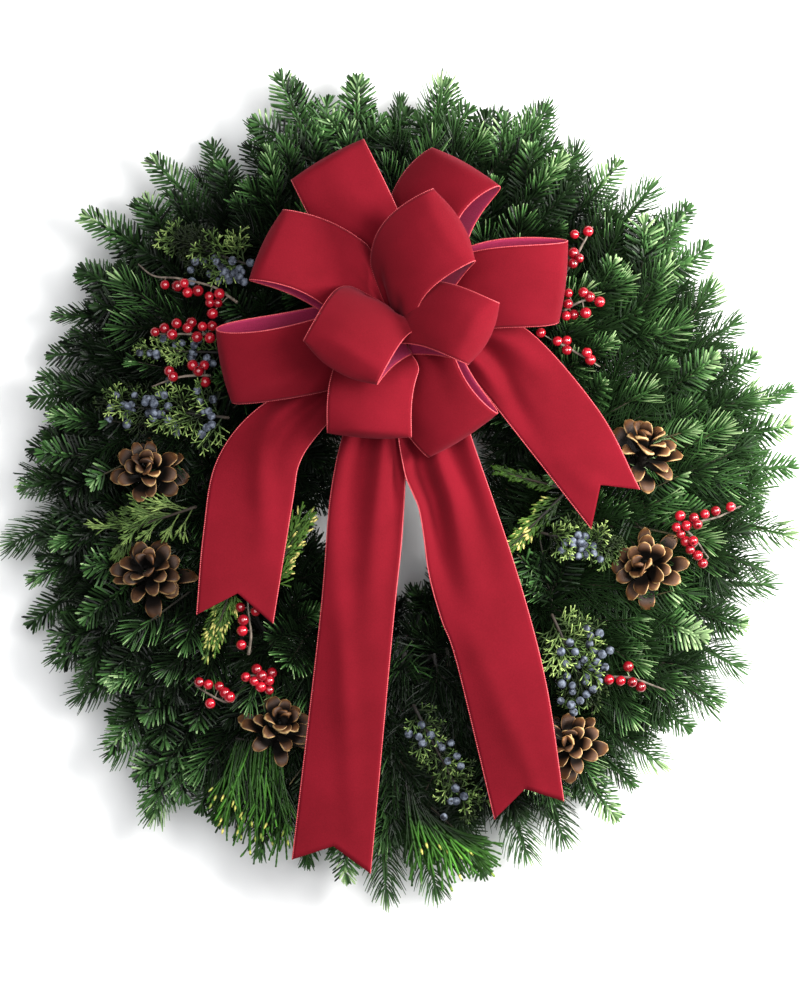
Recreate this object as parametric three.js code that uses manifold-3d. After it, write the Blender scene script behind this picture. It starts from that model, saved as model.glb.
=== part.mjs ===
// Fresh evergreen wreath with a red velvet bow, lying on its back.
// Millimetres. The origin is the centre of the wreath's hole on the surface, +Z points away
// from the surface to the viewer, and +Y points to the top of the wreath, where the bow is.
import * as THREE from 'three';
import { mergeVertices } from 'three/addons/utils/BufferGeometryUtils.js';
import Module from 'manifold-3d';

const wasm = await Module();
wasm.setup();

// ---------------------------------------------------------------- driving dimensions
const GAP = 0.35; // clearance between neighbouring pieces
const RING_R = 152; // radius of the wire ring that carries the bunches
const WIRE_R = 2; // radius of the ring wire and its clamps
const BUNCHES = 12; // fir bunches clamped round the ring
const CORE_IN = 116; // inner radius of the packed stems
const CORE_OUT = 206; // outer radius of the packed stems
const CORE_TOP = 52; // height of the packed stems
const HOLE_R = 76; // radius of the open middle
const FOLIAGE_TOP = 106; // height of the greens at their thickest
const RIBBON_W = 64; // ribbon width
const RIBBON_T = 1.2; // ribbon thickness
const BOW_Y = 126; // the knot stands this far above the hole's centre
const TIE_R = 6; // radius of the tied middle of the bow
const NEEDLE_L = 22; // fir needle length
const NEEDLE_R = 1.5; // fir needle half width
const BERRY_R = 4; // red berry radius
const JUNIPER_BERRY_R = 3.6; // blue juniper berry radius
const CONE_R = 30; // half the width of an open pine cone
const CONE_H = 46; // height of an open pine cone
const STEM_HOLE_TOP = 38; // stems and wires reach down to this height in the packed stems
const SEED = 24; // starts the draws that set the sprays' lengths and angles

// ---------------------------------------------------------------- materials
const look = (color, roughness, metalness = 0) =>
  new THREE.MeshStandardMaterial({ color, roughness, metalness });
const VELVET = look(0xb4223a, 0.85);
const FIR = look(0x3b5a34, 0.6);
const JUNIPER = look(0x5a6b3f, 0.65);
const CEDAR = look(0x9aa04a, 0.6);
const PINE = look(0x3f7030, 0.55);
const CONE = look(0x6b4a2c, 0.75);
const BERRY = look(0xb5121f, 0.25);
const WIRE = look(0x3c4a3c, 0.45, 0.8);

// ---------------------------------------------------------------- small tools
const vec = (x, y, z) => new THREE.Vector3(x, y, z);
const mix = (a, b, t) => a.clone().lerp(b, t);
const rad = THREE.MathUtils.degToRad;
const smooth = (a, b, x) => THREE.MathUtils.smoothstep(x, a, b);
const polar = (r, deg, z) => vec(r * Math.cos(rad(deg)), r * Math.sin(rad(deg)), z);

// A seeded stream of numbers from 0 to 1.
function stream(seed) {
  let state = seed >>> 0;
  return () => {
    state = (state + 0x6d2b79f5) >>> 0;
    let t = Math.imul(state ^ (state >>> 15), 1 | state);
    t = (t + Math.imul(t ^ (t >>> 7), 61 | t)) ^ t;
    return ((t ^ (t >>> 14)) >>> 0) / 4294967296;
  };
}

// Closes a row of rings (each a list of points, one point for a tip) into one skin.
function loft(rings) {
  const position = [];
  const index = [];
  const start = [];
  for (const ring of rings) {
    start.push(position.length / 3);
    for (const p of ring) position.push(p.x, p.y, p.z);
  }
  for (let k = 0; k + 1 < rings.length; k += 1) {
    const [a, b] = [start[k], start[k + 1]];
    const [na, nb] = [rings[k].length, rings[k + 1].length];
    const n = Math.max(na, nb);
    for (let i = 0; i < n; i += 1) {
      const j = (i + 1) % n;
      if (nb === 1) index.push(a + i, a + j, b);
      else if (na === 1) index.push(a, b + j, b + i);
      else index.push(a + i, a + j, b + j, a + i, b + j, b + i);
    }
  }
  const cap = (first, n, flip) => {
    for (let a = 0, b = n - 1; a + 1 < b; a += 1, b -= 1) {
      const corners = [[a, a + 1, b]];
      if (a + 1 < b - 1) corners.push([a + 1, b - 1, b]);
      for (const [p, q, r] of corners) {
        if (flip) index.push(first + p, first + r, first + q);
        else index.push(first + p, first + q, first + r);
      }
    }
  };
  cap(start[0], rings[0].length, true);
  cap(start[rings.length - 1], rings[rings.length - 1].length, false);
  const geometry = new THREE.BufferGeometry();
  geometry.setAttribute('position', new THREE.Float32BufferAttribute(position, 3));
  geometry.setIndex(index);
  return faceOut(geometry);
}

// Turns a closed skin round if its faces point in.
function faceOut(geometry) {
  const p = geometry.attributes.position;
  const index = geometry.index.array;
  const [a, b, c] = [vec(), vec(), vec()];
  let volume = 0;
  for (let i = 0; i < index.length; i += 3) {
    a.fromBufferAttribute(p, index[i]);
    b.fromBufferAttribute(p, index[i + 1]);
    c.fromBufferAttribute(p, index[i + 2]);
    volume += a.dot(b.cross(c));
  }
  if (volume < 0) {
    for (let i = 0; i < index.length; i += 3) {
      [index[i + 1], index[i + 2]] = [index[i + 2], index[i + 1]];
    }
  }
  return geometry;
}

// A closed skin as a solid that can be joined and cut.
function toSolid(geometry) {
  const bare = geometry.clone();
  bare.deleteAttribute('normal');
  bare.deleteAttribute('uv');
  const welded = mergeVertices(bare, 1e-4);
  const vertProperties = new Float32Array(welded.attributes.position.array);
  const triVerts = new Uint32Array(welded.index.array);
  return new wasm.Manifold(new wasm.Mesh({ numProp: 3, vertProperties, triVerts }));
}

// The largest body of a joined solid, as a geometry.
function toGeometry(solid) {
  const bodies = solid.decompose().sort((a, b) => b.volume() - a.volume());
  const mesh = bodies[0].getMesh();
  const geometry = new THREE.BufferGeometry();
  geometry.setAttribute('position', new THREE.Float32BufferAttribute(mesh.vertProperties, 3));
  geometry.setIndex(Array.from(mesh.triVerts));
  return geometry;
}

// A rod through points, with a radius at each: a twig, stem, wire or needle. Radius 0 at an
// end makes it pointed. grow makes it fatter and longer on every side by that much.
function rod(points, radii, sides, grow = 0) {
  const fatter = grow / Math.cos(Math.PI / sides);
  const path = points.map((p) => p.clone());
  const last = path.length - 1;
  if (grow > 0) {
    path[0].add(path[0].clone().sub(path[1]).setLength(grow * 2));
    path[last].add(path[last].clone().sub(path[last - 1]).setLength(grow * 2));
  }
  const along = path.map((_, k) =>
    path[Math.min(k + 1, last)].clone().sub(path[Math.max(k - 1, 0)]).normalize());
  let side = vec(0, 0, 1).cross(along[0]);
  if (side.length() < 0.2) side = vec(1, 0, 0).cross(along[0]);
  const rings = path.map((p, k) => {
    if (radii[k] === 0 && grow === 0) return [p];
    const radius = Math.max(radii[k], 0.15) + fatter;
    const up = along[k].clone().cross(side).normalize();
    side = up.clone().cross(along[k]).normalize();
    const ring = [];
    for (let i = 0; i < sides; i += 1) {
      const turn = (2 * Math.PI * (i + 0.5)) / sides - Math.PI / 2;
      ring.push(p.clone().addScaledVector(side, radius * Math.cos(turn))
        .addScaledVector(up, radius * Math.sin(turn)));
    }
    return ring;
  });
  return toSolid(loft(rings));
}

// A rod with the same rod grown by the clearance, used to keep other pieces off it.
const twig = (points, radii, sides = 3) => ({
  solid: rod(points, radii, sides),
  zone: rod(points, radii, sides, GAP),
});

// A small round berry. Its zone is larger, because a faceted ball's flats lie inside its radius.
function ball(centre, radius, detail = 0) {
  const make = (r) => {
    const geometry = detail < 0 ? new THREE.OctahedronGeometry(r, 0)
      : new THREE.IcosahedronGeometry(r, detail);
    return toSolid(geometry.translate(centre.x, centre.y, centre.z));
  };
  return { solid: make(radius), zone: make((radius + GAP) * 1.25) };
}

// ---------------------------------------------------------------- placing pieces
const wreath = new THREE.Group();
const taken = []; // zones that later pieces stay out of
const holes = []; // zones of the stems and wires that stand in the bunches

function overlapsBox(a, b) {
  for (let i = 0; i < 3; i += 1) {
    if (a.max[i] < b.min[i] || b.max[i] < a.min[i]) return false;
  }
  return true;
}

function blocked(solid, owner) {
  const box = solid.boundingBox();
  return taken.some((other) => other.owner !== owner && overlapsBox(box, other.box)
    && solid.intersect(other.zone).volume() > 1e-7);
}

function keep(owner, zone) {
  taken.push({ owner, zone, box: zone.boundingBox() });
}

function addMesh(name, geometry, material) {
  const mesh = new THREE.Mesh(geometry, material);
  mesh.name = name;
  geometry.computeVertexNormals();
  wreath.add(mesh);
}

// Joins the parts of one piece, leaving out the side parts that another piece is in the way of.
function addPiece(name, parts, material) {
  const kept = [];
  for (const part of parts) {
    if (part.needed || !blocked(part.solid, name)) {
      kept.push(part.solid);
      keep(name, part.zone);
    }
  }
  addMesh(name, toGeometry(wasm.Manifold.union(kept)), material);
}

// ---------------------------------------------------------------- wire ring with clamps
const STEP = 360 / BUNCHES;
const BROAD_AT = 10; // a bunch is at full breadth this many degrees past its start
const END_GAP = 0.1; // degrees left free at both ends of a bunch
const CLAMP_AT = 3; // each clamp stands this many degrees past the start of its bunch
const NECK_HALF = 12; // half the width of a bunch's tied stems
const NECK_TOP = 20; // height of a bunch's tied stems

// The ring's wire has six flat sides, so one of them lies on the surface.
function ringWire(grow) {
  const r = WIRE_R + grow * 1.2;
  const profile = [];
  for (let i = 0; i <= 6; i += 1) {
    const turn = rad(60 * i);
    const z = WIRE_R * Math.cos(Math.PI / 6) + r * Math.sin(turn);
    profile.push(new THREE.Vector2(RING_R + r * Math.cos(turn), z));
  }
  return toSolid(faceOut(new THREE.LatheGeometry(profile, BUNCHES * 2).rotateX(Math.PI / 2)));
}

// One clamp: a staple on the ring whose two prongs are folded over the tied stems.
function clamp(deg) {
  const low = WIRE_R * 2.2;
  const leg = NECK_HALF + 4;
  const bend = [[2.5, NECK_TOP + 5], [leg, NECK_TOP + 1.5], [leg - 3, low]];
  const across = [...bend, ...bend.map(([x, z]) => [-x, z]).reverse()];
  return twig(across.map(([x, z]) => polar(RING_R + x, deg, z)),
    across.map(() => WIRE_R * 0.9), 3);
}

function makeRing() {
  const parts = [{ solid: ringWire(0), zone: ringWire(GAP), needed: true }];
  for (let k = 0; k < BUNCHES; k += 1) {
    parts.push({ ...clamp(k * STEP + CLAMP_AT), needed: true });
  }
  addPiece('wire_ring', parts, WIRE);
}

// ---------------------------------------------------------------- bow
const TIE = vec(0, BOW_Y, 0);
const TIE_LOW = 106; // height of the tied middle's lower end, under the tails
const TIE_HIGH = 144; // height of its upper end, over the front loops
const TIE_WIRE_R = 1.6; // radius of the wire that holds the bow

// A flat band through rows of points: the left edge, the right edge and anything between.
function band(rows, thickness) {
  const rings = rows.map((row, k) => {
    const before = rows[Math.max(k - 1, 0)];
    const after = rows[Math.min(k + 1, rows.length - 1)];
    const mid = row.length - 1;
    const travel = after[0].clone().add(after[mid]).sub(before[0]).sub(before[mid]);
    const across = row[mid].clone().sub(row[0]);
    const lift = travel.cross(across).setLength(thickness / 2);
    const top = row.map((p) => p.clone().add(lift));
    const under = row.map((p) => p.clone().sub(lift)).reverse();
    return [...top, ...under];
  });
  return toSolid(loft(rings));
}

// Widens rows to keep neighbours off the band.
function wider(rows, grow) {
  return rows.map((row) => {
    const out = row[row.length - 1].clone().sub(row[0]).setLength(grow);
    return row.map((p, i) => {
      if (i === 0) return p.clone().sub(out);
      return i === row.length - 1 ? p.clone().add(out) : p.clone();
    });
  });
}

// Each loop: where the two corners of its fold are, the height of its root on the tie, and how
// far its upper and lower layers stand off the straight line from root to fold.
const LOOPS = {
  a: { left: [-84, 239, 132], right: [-28, 271, 134], root: 125, rise: 10, fall: 12 },
  b: { left: [27, 264, 126], right: [77, 233, 150], root: 118, rise: 14, fall: 12 },
  h: { left: [131, 192, 152], right: [126, 127, 140], root: 124, rise: 16, fall: 13 },
  j: { left: [75, 57, 140], right: [22, 23, 122], root: 119, rise: 9, fall: 6 },
  i: { left: [7, 38, 153], right: [-57, 43, 150], root: 131, rise: 15, fall: 6 },
  e: { left: [-131, 66, 132], right: [-143, 121, 150], root: 124, rise: 15, fall: 11 },
  d: { left: [-118, 158, 174], right: [-92, 217, 170], root: 133, rise: 14, fall: 7 },
  c: { left: [24, 232, 186], right: [58, 179, 204], root: 137, rise: 24, fall: 10 },
  f: { left: [-17, 81, 216], right: [-76, 116, 198], root: 140, rise: 24, fall: 12 },
  g: { left: [75, 146, 208], right: [53, 95, 196], root: 137, rise: 20, fall: 12 },
};
const LOOP_STEPS = 16;
const ROOT_W = 8; // gathered width at the tie
const FULL_AT = 0.62; // share of the loop's length where the ribbon is at full width

function loopRows(shape, steps) {
  const left = vec(...shape.left);
  const right = vec(...shape.right);
  const tip = mix(left, right, 0.5);
  const away = tip.clone().sub(TIE).setZ(0).setLength(TIE_R + GAP + RIBBON_T / 4);
  const root = TIE.clone().add(away).setZ(shape.root);
  const along = tip.clone().sub(root);
  const across = right.clone().sub(left).multiplyScalar(0.5);
  const square = away.clone().cross(vec(0, 0, 1)).setLength(ROOT_W / 2);
  const out = across.clone().cross(along).normalize();
  if (out.z < 0) out.negate();
  const rows = [];
  for (let k = 0; k <= steps; k += 1) {
    const turn = Math.PI * ((2 * k) / steps - 1) * 0.97;
    const u = (1 + Math.cos(turn)) / 2;
    const reach = turn > 0 ? shape.rise : shape.fall;
    const off = reach * Math.sin(turn) * u ** 0.55;
    const split = 1.7 * (turn / Math.PI);
    const centre = root.clone().addScaledVector(along, u).addScaledVector(out, off);
    centre.z += split;
    const half = mix(square, across, smooth(0, FULL_AT, u));
    const full = half.length() > RIBBON_W / 2 ? half.setLength(RIBBON_W / 2) : half;
    rows.push([centre.clone().sub(full), centre.clone().add(full)]);
  }
  return rows;
}

// Each tail: its two edges from the tie down to the cut end, and the depth of the V cut.
const TAILS = {
  left_short: {
    left: [[-6.3, 123.2, 109], [-52, 92, 109], [-109, 61, 112], [-141, 20, 112], [-151, -35, 115],
      [-156, -98, 121]],
    right: [[-2.9, 119.9, 109], [-26, 82, 109], [-59, 46, 110], [-77, 20, 113], [-83, -12, 113],
      [-98, -105, 118]],
    notch: 20,
  },
  left_long: {
    left: [[-3, 119.8, 115], [-28, 84, 114], [-44, 39, 114], [-54, -12, 116], [-61, -98, 118],
      [-83, -287, 110]],
    right: [[1, 119.4, 115], [-1, 84, 113], [4.5, 37, 113], [1.5, -35, 116], [-6, -110, 118],
      [-23, -298, 108]],
    notch: 16,
  },
  right_long: {
    left: [[1.5, 119.2, 108], [3.6, 60, 110], [8, 0, 115], [18, -27, 116], [44, -136, 116],
      [73, -256, 110]],
    right: [[5, 121, 108], [42, 70, 110], [58, 28, 115], [90, -67, 116], [112, -151, 116],
      [126, -242, 111]],
    notch: 17,
  },
  right_short: {
    left: [[5.5, 121.5, 114], [28, 108, 115], [51, 90, 116], [101, 27, 115], [147, -32, 122]],
    right: [[7, 125.5, 114], [60, 130, 114], [99, 120, 114], [153, 58, 114], [184, -2, 120]],
    notch: 22,
  },
};
const TAIL_STEPS = 12;

function tailRows(shape, steps) {
  const leftEdge = new THREE.CatmullRomCurve3(shape.left.map((p) => vec(...p)));
  const rightEdge = new THREE.CatmullRomCurve3(shape.right.map((p) => vec(...p)));
  const rows = [];
  for (let k = 0; k <= steps; k += 1) {
    const t = k / steps;
    const [a, b] = [leftEdge.getPoint(t), rightEdge.getPoint(t)];
    rows.push([a, mix(a, b, 0.5), b]);
  }
  const [before, end] = [rows[steps - 1], rows[steps]];
  const back = before[1].clone().sub(end[1]);
  end[1].add(back.setLength(Math.min(shape.notch, back.length() * 0.9)));
  return rows;
}

function addBand(name, rows) {
  const solid = band(rows, RIBBON_T);
  keep(name, band(wider(rows, GAP), RIBBON_T + 2 * GAP));
  addMesh(name, toGeometry(solid), VELVET);
}

// The middle of the bow: its tied core, and the wire that holds it to the wire ring.
function makeTie() {
  const besideClamp = 90 + CLAMP_AT / 3;
  const ringTop = WIRE_R * 2 * Math.cos(Math.PI / 6);
  const foot = polar(RING_R - TIE_WIRE_R, besideClamp, ringTop + TIE_WIRE_R * 0.75 + GAP);
  const path = [TIE.clone().setZ(TIE_LOW + 4), TIE.clone().setZ(CORE_TOP + 8),
    polar(BOW_Y + 4, besideClamp, NECK_TOP - 6), foot];
  const wire = twig(path, path.map(() => TIE_WIRE_R), 4);
  const core = twig([TIE.clone().setZ(TIE_LOW), TIE.clone().setZ(TIE_HIGH)], [TIE_R, TIE_R], 8);
  addPiece('bow_tie', [{ ...core, needed: true }, { ...wire, needed: true }], VELVET);
  holes.push(wire.zone);
}

// ---------------------------------------------------------------- cones
const SCALES = 13; // scales of a cone
const GOLDEN = 137.508; // the angle from one scale, needle or spray to the next, degrees

// One open cone about its own axis, its base at the bottom.
function coneSolid(grow) {
  const axis = rod([vec(0, 0, 0), vec(0, 0, CONE_H * 0.35), vec(0, 0, CONE_H * 0.9)],
    [CONE_R * 0.36, CONE_R * 0.4, CONE_R * 0.12], 4, grow);
  const scales = [axis];
  for (let k = 0; k < SCALES; k += 1) {
    const t = (k + 0.5) / SCALES;
    const z = CONE_H * (0.06 + 0.8 * t);
    const out = CONE_R * (1.02 - 0.78 * t ** 1.7);
    const lift = 4 + 20 * t;
    const deg = k * GOLDEN;
    const ring = (r, height, half, thick) => {
      const at = polar(r, deg, height + grow);
      const side = polar(half + grow * 2, deg + 90, 0);
      return [at.clone().add(side), at.clone().sub(side), at.setZ(height - thick - grow * 2)];
    };
    scales.push(toSolid(loft([
      ring(CONE_R * 0.1, z, 1.6, 1.6),
      ring(out + grow, z + lift, 7.8 - 3.8 * t, 4),
    ])));
  }
  return wasm.Manifold.union(scales);
}

// Each cone: where its middle is, the way its tip points, and where its wire meets the bunch.
const CONES = {
  1: { at: [-195, 12, 88], tip: [-0.35, -0.45, 0.8], foot: [178, 176] },
  2: { at: [-193, -71, 86], tip: [-0.4, -0.4, 0.8], foot: [190, 200] },
  3: { at: [-94, -185, 90], tip: [-0.25, -0.55, 0.8], foot: [190, 243] },
  4: { at: [193, 23, 86], tip: [0.35, 0.3, 0.85], foot: [178, 7] },
  5: { at: [195, -62, 86], tip: [0.1, -0.15, 0.98], foot: [190, 342] },
  6: { at: [131, -199, 80], tip: [0.45, -0.3, 0.82], foot: [190, 303] },
};

function makeCones() {
  const shape = coneSolid(0);
  const zone = coneSolid(GAP);
  for (const [number, cone] of Object.entries(CONES)) {
    const name = `pine_cone_${number}`;
    const turn = new THREE.Quaternion()
      .setFromUnitVectors(vec(0, 0, 1), vec(...cone.tip).normalize());
    const base = vec(0, 0, -CONE_H / 2).applyQuaternion(turn).add(vec(...cone.at));
    const foot = rooted(polar(cone.foot[0], cone.foot[1], STEM_HOLE_TOP));
    const bend = mix(base, foot, 0.35);
    const matrix = new THREE.Matrix4().compose(base, turn, vec(1, 1, 1));
    const wire = [base.clone().lerp(vec(...cone.at), 0.2), bend, foot];
    const pick = twig(wire, [1.6, 1.4, 1.4], 3);
    addPiece(name, [
      { solid: shape.transform(matrix.toArray()), zone: zone.transform(matrix.toArray()),
        needed: true },
      { ...pick, needed: true },
    ], CONE);
    holes.push(pick.zone);
  }
}

// ---------------------------------------------------------------- red berry sprigs
// Each sprig: the twig's points, and how many berries sit along each side of it.
const SPRIGS = {
  1: { path: [[-207, 173, 96], [-164, 164, 106], [-121, 154, 98]], berries: 4 },
  2: { path: [[-196, 118, 112], [-172, 121, 114], [-146, 117, 106]], berries: 4 },
  3: { path: [[-190, 82, 106], [-168, 88, 110], [-149, 86, 104]], berries: 4 },
  4: { path: [[151, 203, 96], [141, 190, 104], [132, 174, 104]], berries: 4 },
  5: { path: [[158, 147, 100], [143, 145, 106], [128, 134, 104]], berries: 4 },
  6: { path: [[150, 98, 104], [136, 108, 108], [118, 118, 106]], berries: 4 },
  7: { path: [[258, -16, 88], [236, -20, 98], [214, -30, 98]], berries: 4 },
  8: { path: [[194, -152, 90], [180, -151, 98], [163, -150, 96]], berries: 4 },
  9: { path: [[-119, -88, 104], [-122, -112, 110], [-120, -132, 104]], berries: 4 },
  10: { path: [[-160, -150, 98], [-143, -155, 106], [-134, -166, 104]], berries: 4 },
  11: { path: [[-124, -146, 106], [-112, -146, 110], [-100, -147, 104]], berries: 4 },
};

// The twig's inner end turns down into the bunch below and stands in a hole of its core.
function stemInto(point, inset) {
  const deg = THREE.MathUtils.radToDeg(Math.atan2(point.y, point.x));
  const r = THREE.MathUtils.clamp(Math.hypot(point.x, point.y) - inset, CORE_IN + 20,
    CORE_OUT - 26);
  return rooted(polar(r, deg, STEM_HOLE_TOP));
}

function makeSprigs() {
  for (const [number, sprig] of Object.entries(SPRIGS)) {
    const name = `berry_sprig_${number}`;
    const points = sprig.path.map((p) => vec(...p));
    const curve = new THREE.CatmullRomCurve3(points);
    const last = points[points.length - 1];
    const foot = stemInto(last, 4);
    const stem = twig([curve.getPoint(0), curve.getPoint(0.5), last, foot],
      [0.8, 1.2, 1.4, 1.4], 3);
    const parts = [{ ...stem, needed: true }];
    for (let k = 0; k < sprig.berries; k += 1) {
      const t = (k + 0.3) / sprig.berries;
      const side = k % 2 ? 1 : -1;
      const tangent = curve.getTangent(t);
      const off = tangent.clone().cross(vec(0, 0, 1)).setLength(side * BERRY_R * 0.86);
      const centre = curve.getPoint(t).add(off);
      centre.z += k % 3 === 0 ? 1.6 : 0.4;
      parts.push(ball(centre, BERRY_R));
    }
    addPiece(name, parts, BERRY);
    holes.push(stem.zone);
  }
}

// ---------------------------------------------------------------- mixed greens
// Short side shoots with berries among them: juniper, or flat golden cedar with no berries.
function scalySpray(name, { from, to, width, shoots, berries, seed }, material) {
  const draw = stream(seed);
  const root = vec(...from);
  const tip = vec(...to);
  const axis = tip.clone().sub(root).normalize();
  const side = axis.clone().cross(vec(0, 0, 1)).normalize();
  const stemEnd = stemInto(root, -6);
  const stem = twig([stemEnd, root, mix(root, tip, 0.55), tip], [1.6, 1.9, 1.4, 0], 3);
  const parts = [{ ...stem, needed: true }];
  for (let k = 0; k < shoots; k += 1) {
    const t = 0.12 + (0.8 * (k + draw() * 0.5)) / shoots;
    const start = mix(root, tip, t);
    const length = width * (1.05 - 0.4 * t) * (0.85 + 0.3 * draw());
    const arm = (hand) => {
      const end = start.clone().addScaledVector(side, hand * length * 0.8)
        .addScaledVector(axis, length * 0.6);
      end.z += (draw() - 0.35) * 12;
      return end;
    };
    const ends = [arm(1), arm(-1)];
    parts.push(twig([ends[0], start, ends[1]], [0, 1.6, 0], 3));
    const fork = mix(start, ends[k % 2], 0.45);
    const out = fork.clone().addScaledVector(axis, length * 0.55);
    out.z += (draw() - 0.4) * 8;
    parts.push(twig([fork, out], [1.3, 0], 3));
    ends.forEach((end, i) => {
      if (2 * k + i >= berries) return;
      const at = mix(start, end, 0.5 + 0.3 * draw());
      at.z += JUNIPER_BERRY_R * 0.7;
      parts.push(ball(at, JUNIPER_BERRY_R, -1));
    });
  }
  addPiece(name, parts, material);
  holes.push(stem.zone);
}

const JUNIPERS = {
  1: { from: [-118, 172, 100], to: [-172, 196, 92], width: 26, shoots: 3, berries: 4 },
  2: { from: [-138, 104, 96], to: [-200, 106, 90], width: 16, shoots: 3, berries: 3 },
  3: { from: [-136, 56, 98], to: [-228, 64, 84], width: 24, shoots: 3, berries: 3 },
  4: { from: [-160, -16, 98], to: [-226, -30, 84], width: 18, shoots: 3, berries: 0 },
  5: { from: [112, -36, 98], to: [166, -46, 96], width: 20, shoots: 3, berries: 4 },
  6: { from: [118, -104, 100], to: [158, -162, 92], width: 26, shoots: 3, berries: 5 },
  7: { from: [14, -168, 98], to: [56, -232, 92], width: 26, shoots: 3, berries: 4 },
};
const CEDARS = {
  1: { from: [84, 8, 92], to: [98, -38, 98], width: 16, shoots: 3, berries: 0 },
  2: { from: [-132, -78, 96], to: [-146, -128, 96], width: 15, shoots: 3, berries: 0 },
  3: { from: [-92, -24, 96], to: [-70, -92, 92], width: 16, shoots: 3, berries: 0 },
};

// A tuft of long needles fanning from the end of a twig.
function pineSpray(name, { from, to, length, needles, spread, seed }) {
  const draw = stream(seed);
  const root = vec(...from);
  const tip = vec(...to);
  const axis = tip.clone().sub(root).normalize();
  const side = axis.clone().cross(vec(0, 0, 1)).normalize();
  const up = side.clone().cross(axis);
  const stem = twig([stemInto(root, 10), root, tip], [2.2, 2.6, 2], 3);
  const parts = [{ ...stem, needed: true }];
  for (let k = 0; k < needles; k += 1) {
    const t = k / (needles - 1);
    const start = mix(root, tip, 0.05 + 0.93 * t);
    const turn = rad(k * GOLDEN);
    const fan = spread * (1 - 0.55 * t) * (0.8 + 0.4 * draw());
    const way = axis.clone().addScaledVector(side, fan * Math.cos(turn))
      .addScaledVector(up, fan * 0.55 * Math.sin(turn) + 0.05).normalize();
    const end = start.clone().addScaledVector(way, length * (0.85 + 0.25 * draw()));
    end.z = Math.max(end.z, 6);
    parts.push(twig([start, end], [1.5, 0], 3));
  }
  addPiece(name, parts, PINE);
  holes.push(stem.zone);
}

const PINES = {
  1: { from: [-128, -200, 52], to: [-118, -240, 56], length: 62, needles: 18, spread: 0.75 },
  2: { from: [4, -206, 64], to: [24, -258, 60], length: 68, needles: 20, spread: 0.7 },
};

// ---------------------------------------------------------------- fir bunches
// The packed stems of a bunch, from the tied neck under its clamp to its broad end.
function coreSolid(k) {
  const from = k * STEP;
  const half = (CORE_OUT - CORE_IN) / 2;
  const mid = (CORE_OUT + CORE_IN) / 2;
  const stations = [
    { deg: 0, mid: RING_R, half: NECK_HALF, low: 7.5, top: NECK_TOP },
    { deg: 5, mid: RING_R, half: NECK_HALF, low: 7.5, top: NECK_TOP },
    { deg: BROAD_AT, mid, half: half * 0.96, low: 8, top: CORE_TOP },
    { deg: STEP, mid, half, low: 6, top: CORE_TOP },
  ];
  const rings = stations.map((s, i) => {
    let deg = from + s.deg;
    if (i === 0) deg += END_GAP;
    if (i === stations.length - 1) deg -= END_GAP;
    const middle = (s.low + s.top) / 2;
    const tall = (s.top - s.low) / 2;
    const corners = [[-1, 0], [-0.62, 1], [0.62, 1], [1, 0], [0.75, -1], [-0.75, -1]];
    return corners.map(([x, z]) => polar(s.mid + s.half * x, deg, middle + tall * z));
  });
  return toSolid(loft(rings));
}

// A spray: a tapered twig with pairs of needles combed forward and raised by turns.
function firSpray(base, tip, pairs, draw) {
  const axis = tip.clone().sub(base).normalize();
  const side = axis.clone().cross(vec(0, 0, 1)).normalize();
  const up = side.clone().cross(axis);
  const parts = [twig([base, tip], [SPRAY_R, 0])];
  for (let i = 0; i < pairs; i += 1) {
    const at = mix(base, tip, 0.42 + (0.56 * (i + 0.5 * draw())) / pairs);
    const lift = i % 2 ? 0.75 : 0.1;
    const needle = (hand) => at.clone().addScaledVector(
      axis.clone().multiplyScalar(0.75).addScaledVector(side, hand * (0.85 - 0.3 * lift))
        .addScaledVector(up, lift).normalize(),
      NEEDLE_L,
    );
    parts.push(twig([needle(1), at, needle(-1)], [0, NEEDLE_R, 0], 3));
  }
  return parts;
}

// The sprays that make the outline: the angle and reach of each tip, and how far it leans
// from the radius. They go round by turns low, high and between.
const OUTLINE = [
  [3, 311, 1], [9, 309, 3], [14, 319, 12], [20, 298, 12], [26, 294, 2], [32, 292, 22],
  [38, 309, 3], [44, 317, -1], [50, 309, 0], [56, 307, -8], [62, 301, 12], [69, 319, -8],
  [77, 303, -8], [84, 319, -6], [90, 308, -5], [96, 322, -8], [105, 331, 12], [112, 309, 6],
  [119, 311, -16], [127, 324, 8], [133, 306, 4], [139, 327, 13], [146, 305, 22],
  [153, 303, 30], [159, 296, 30], [166, 297, 24], [174, 294, 22], [180, 298, 15],
  [188, 311, 20], [194, 299, 16], [200, 312, 20], [206, 302, 8], [213, 303, 6],
  [222, 307, 14], [228, 306, 20], [233, 324, 22], [241, 301, 28], [249, 310, 14],
  [256, 308, 12], [262, 312, 8], [268, 322, 6], [275, 318, 10], [282, 314, 12],
  [289, 306, -2], [295, 306, -6], [303, 309, 4], [308, 300, 10], [313, 297, 14],
  [320, 297, 2], [326, 299, 4], [332, 302, -1], [338, 292, 6], [345, 301, 16], [353, 308, -8],
];
const TIP_HEIGHTS = [34, 74, 20, 58];
const LONG_PAIRS = 3; // pairs of needles on an upper outline spray
const SHORT_PAIRS = 2; // pairs of needles on any other spray
const UNDER_BOW = 34; // the bow covers this many degrees on both sides of the top
const SPRAY_R = 2.8; // half the width of a spray's twig at its root
const SEATED = 4; // a spray's twig is sunk at least this many cubic millimetres into the stems
const SHELF = 192; // the outline's sprays spring from the packed stems at this radius

// Moves the root of a spray from the narrow neck of a bunch to the nearest broad part.
function rooted(point) {
  const deg = (THREE.MathUtils.radToDeg(Math.atan2(point.y, point.x)) + 360) % 360;
  const past = deg % STEP;
  if (past > BROAD_AT) return point;
  const to = past < BROAD_AT / 2 ? deg - past - 1 : deg - past + BROAD_AT;
  return polar(Math.hypot(point.x, point.y), to, point.z);
}

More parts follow.
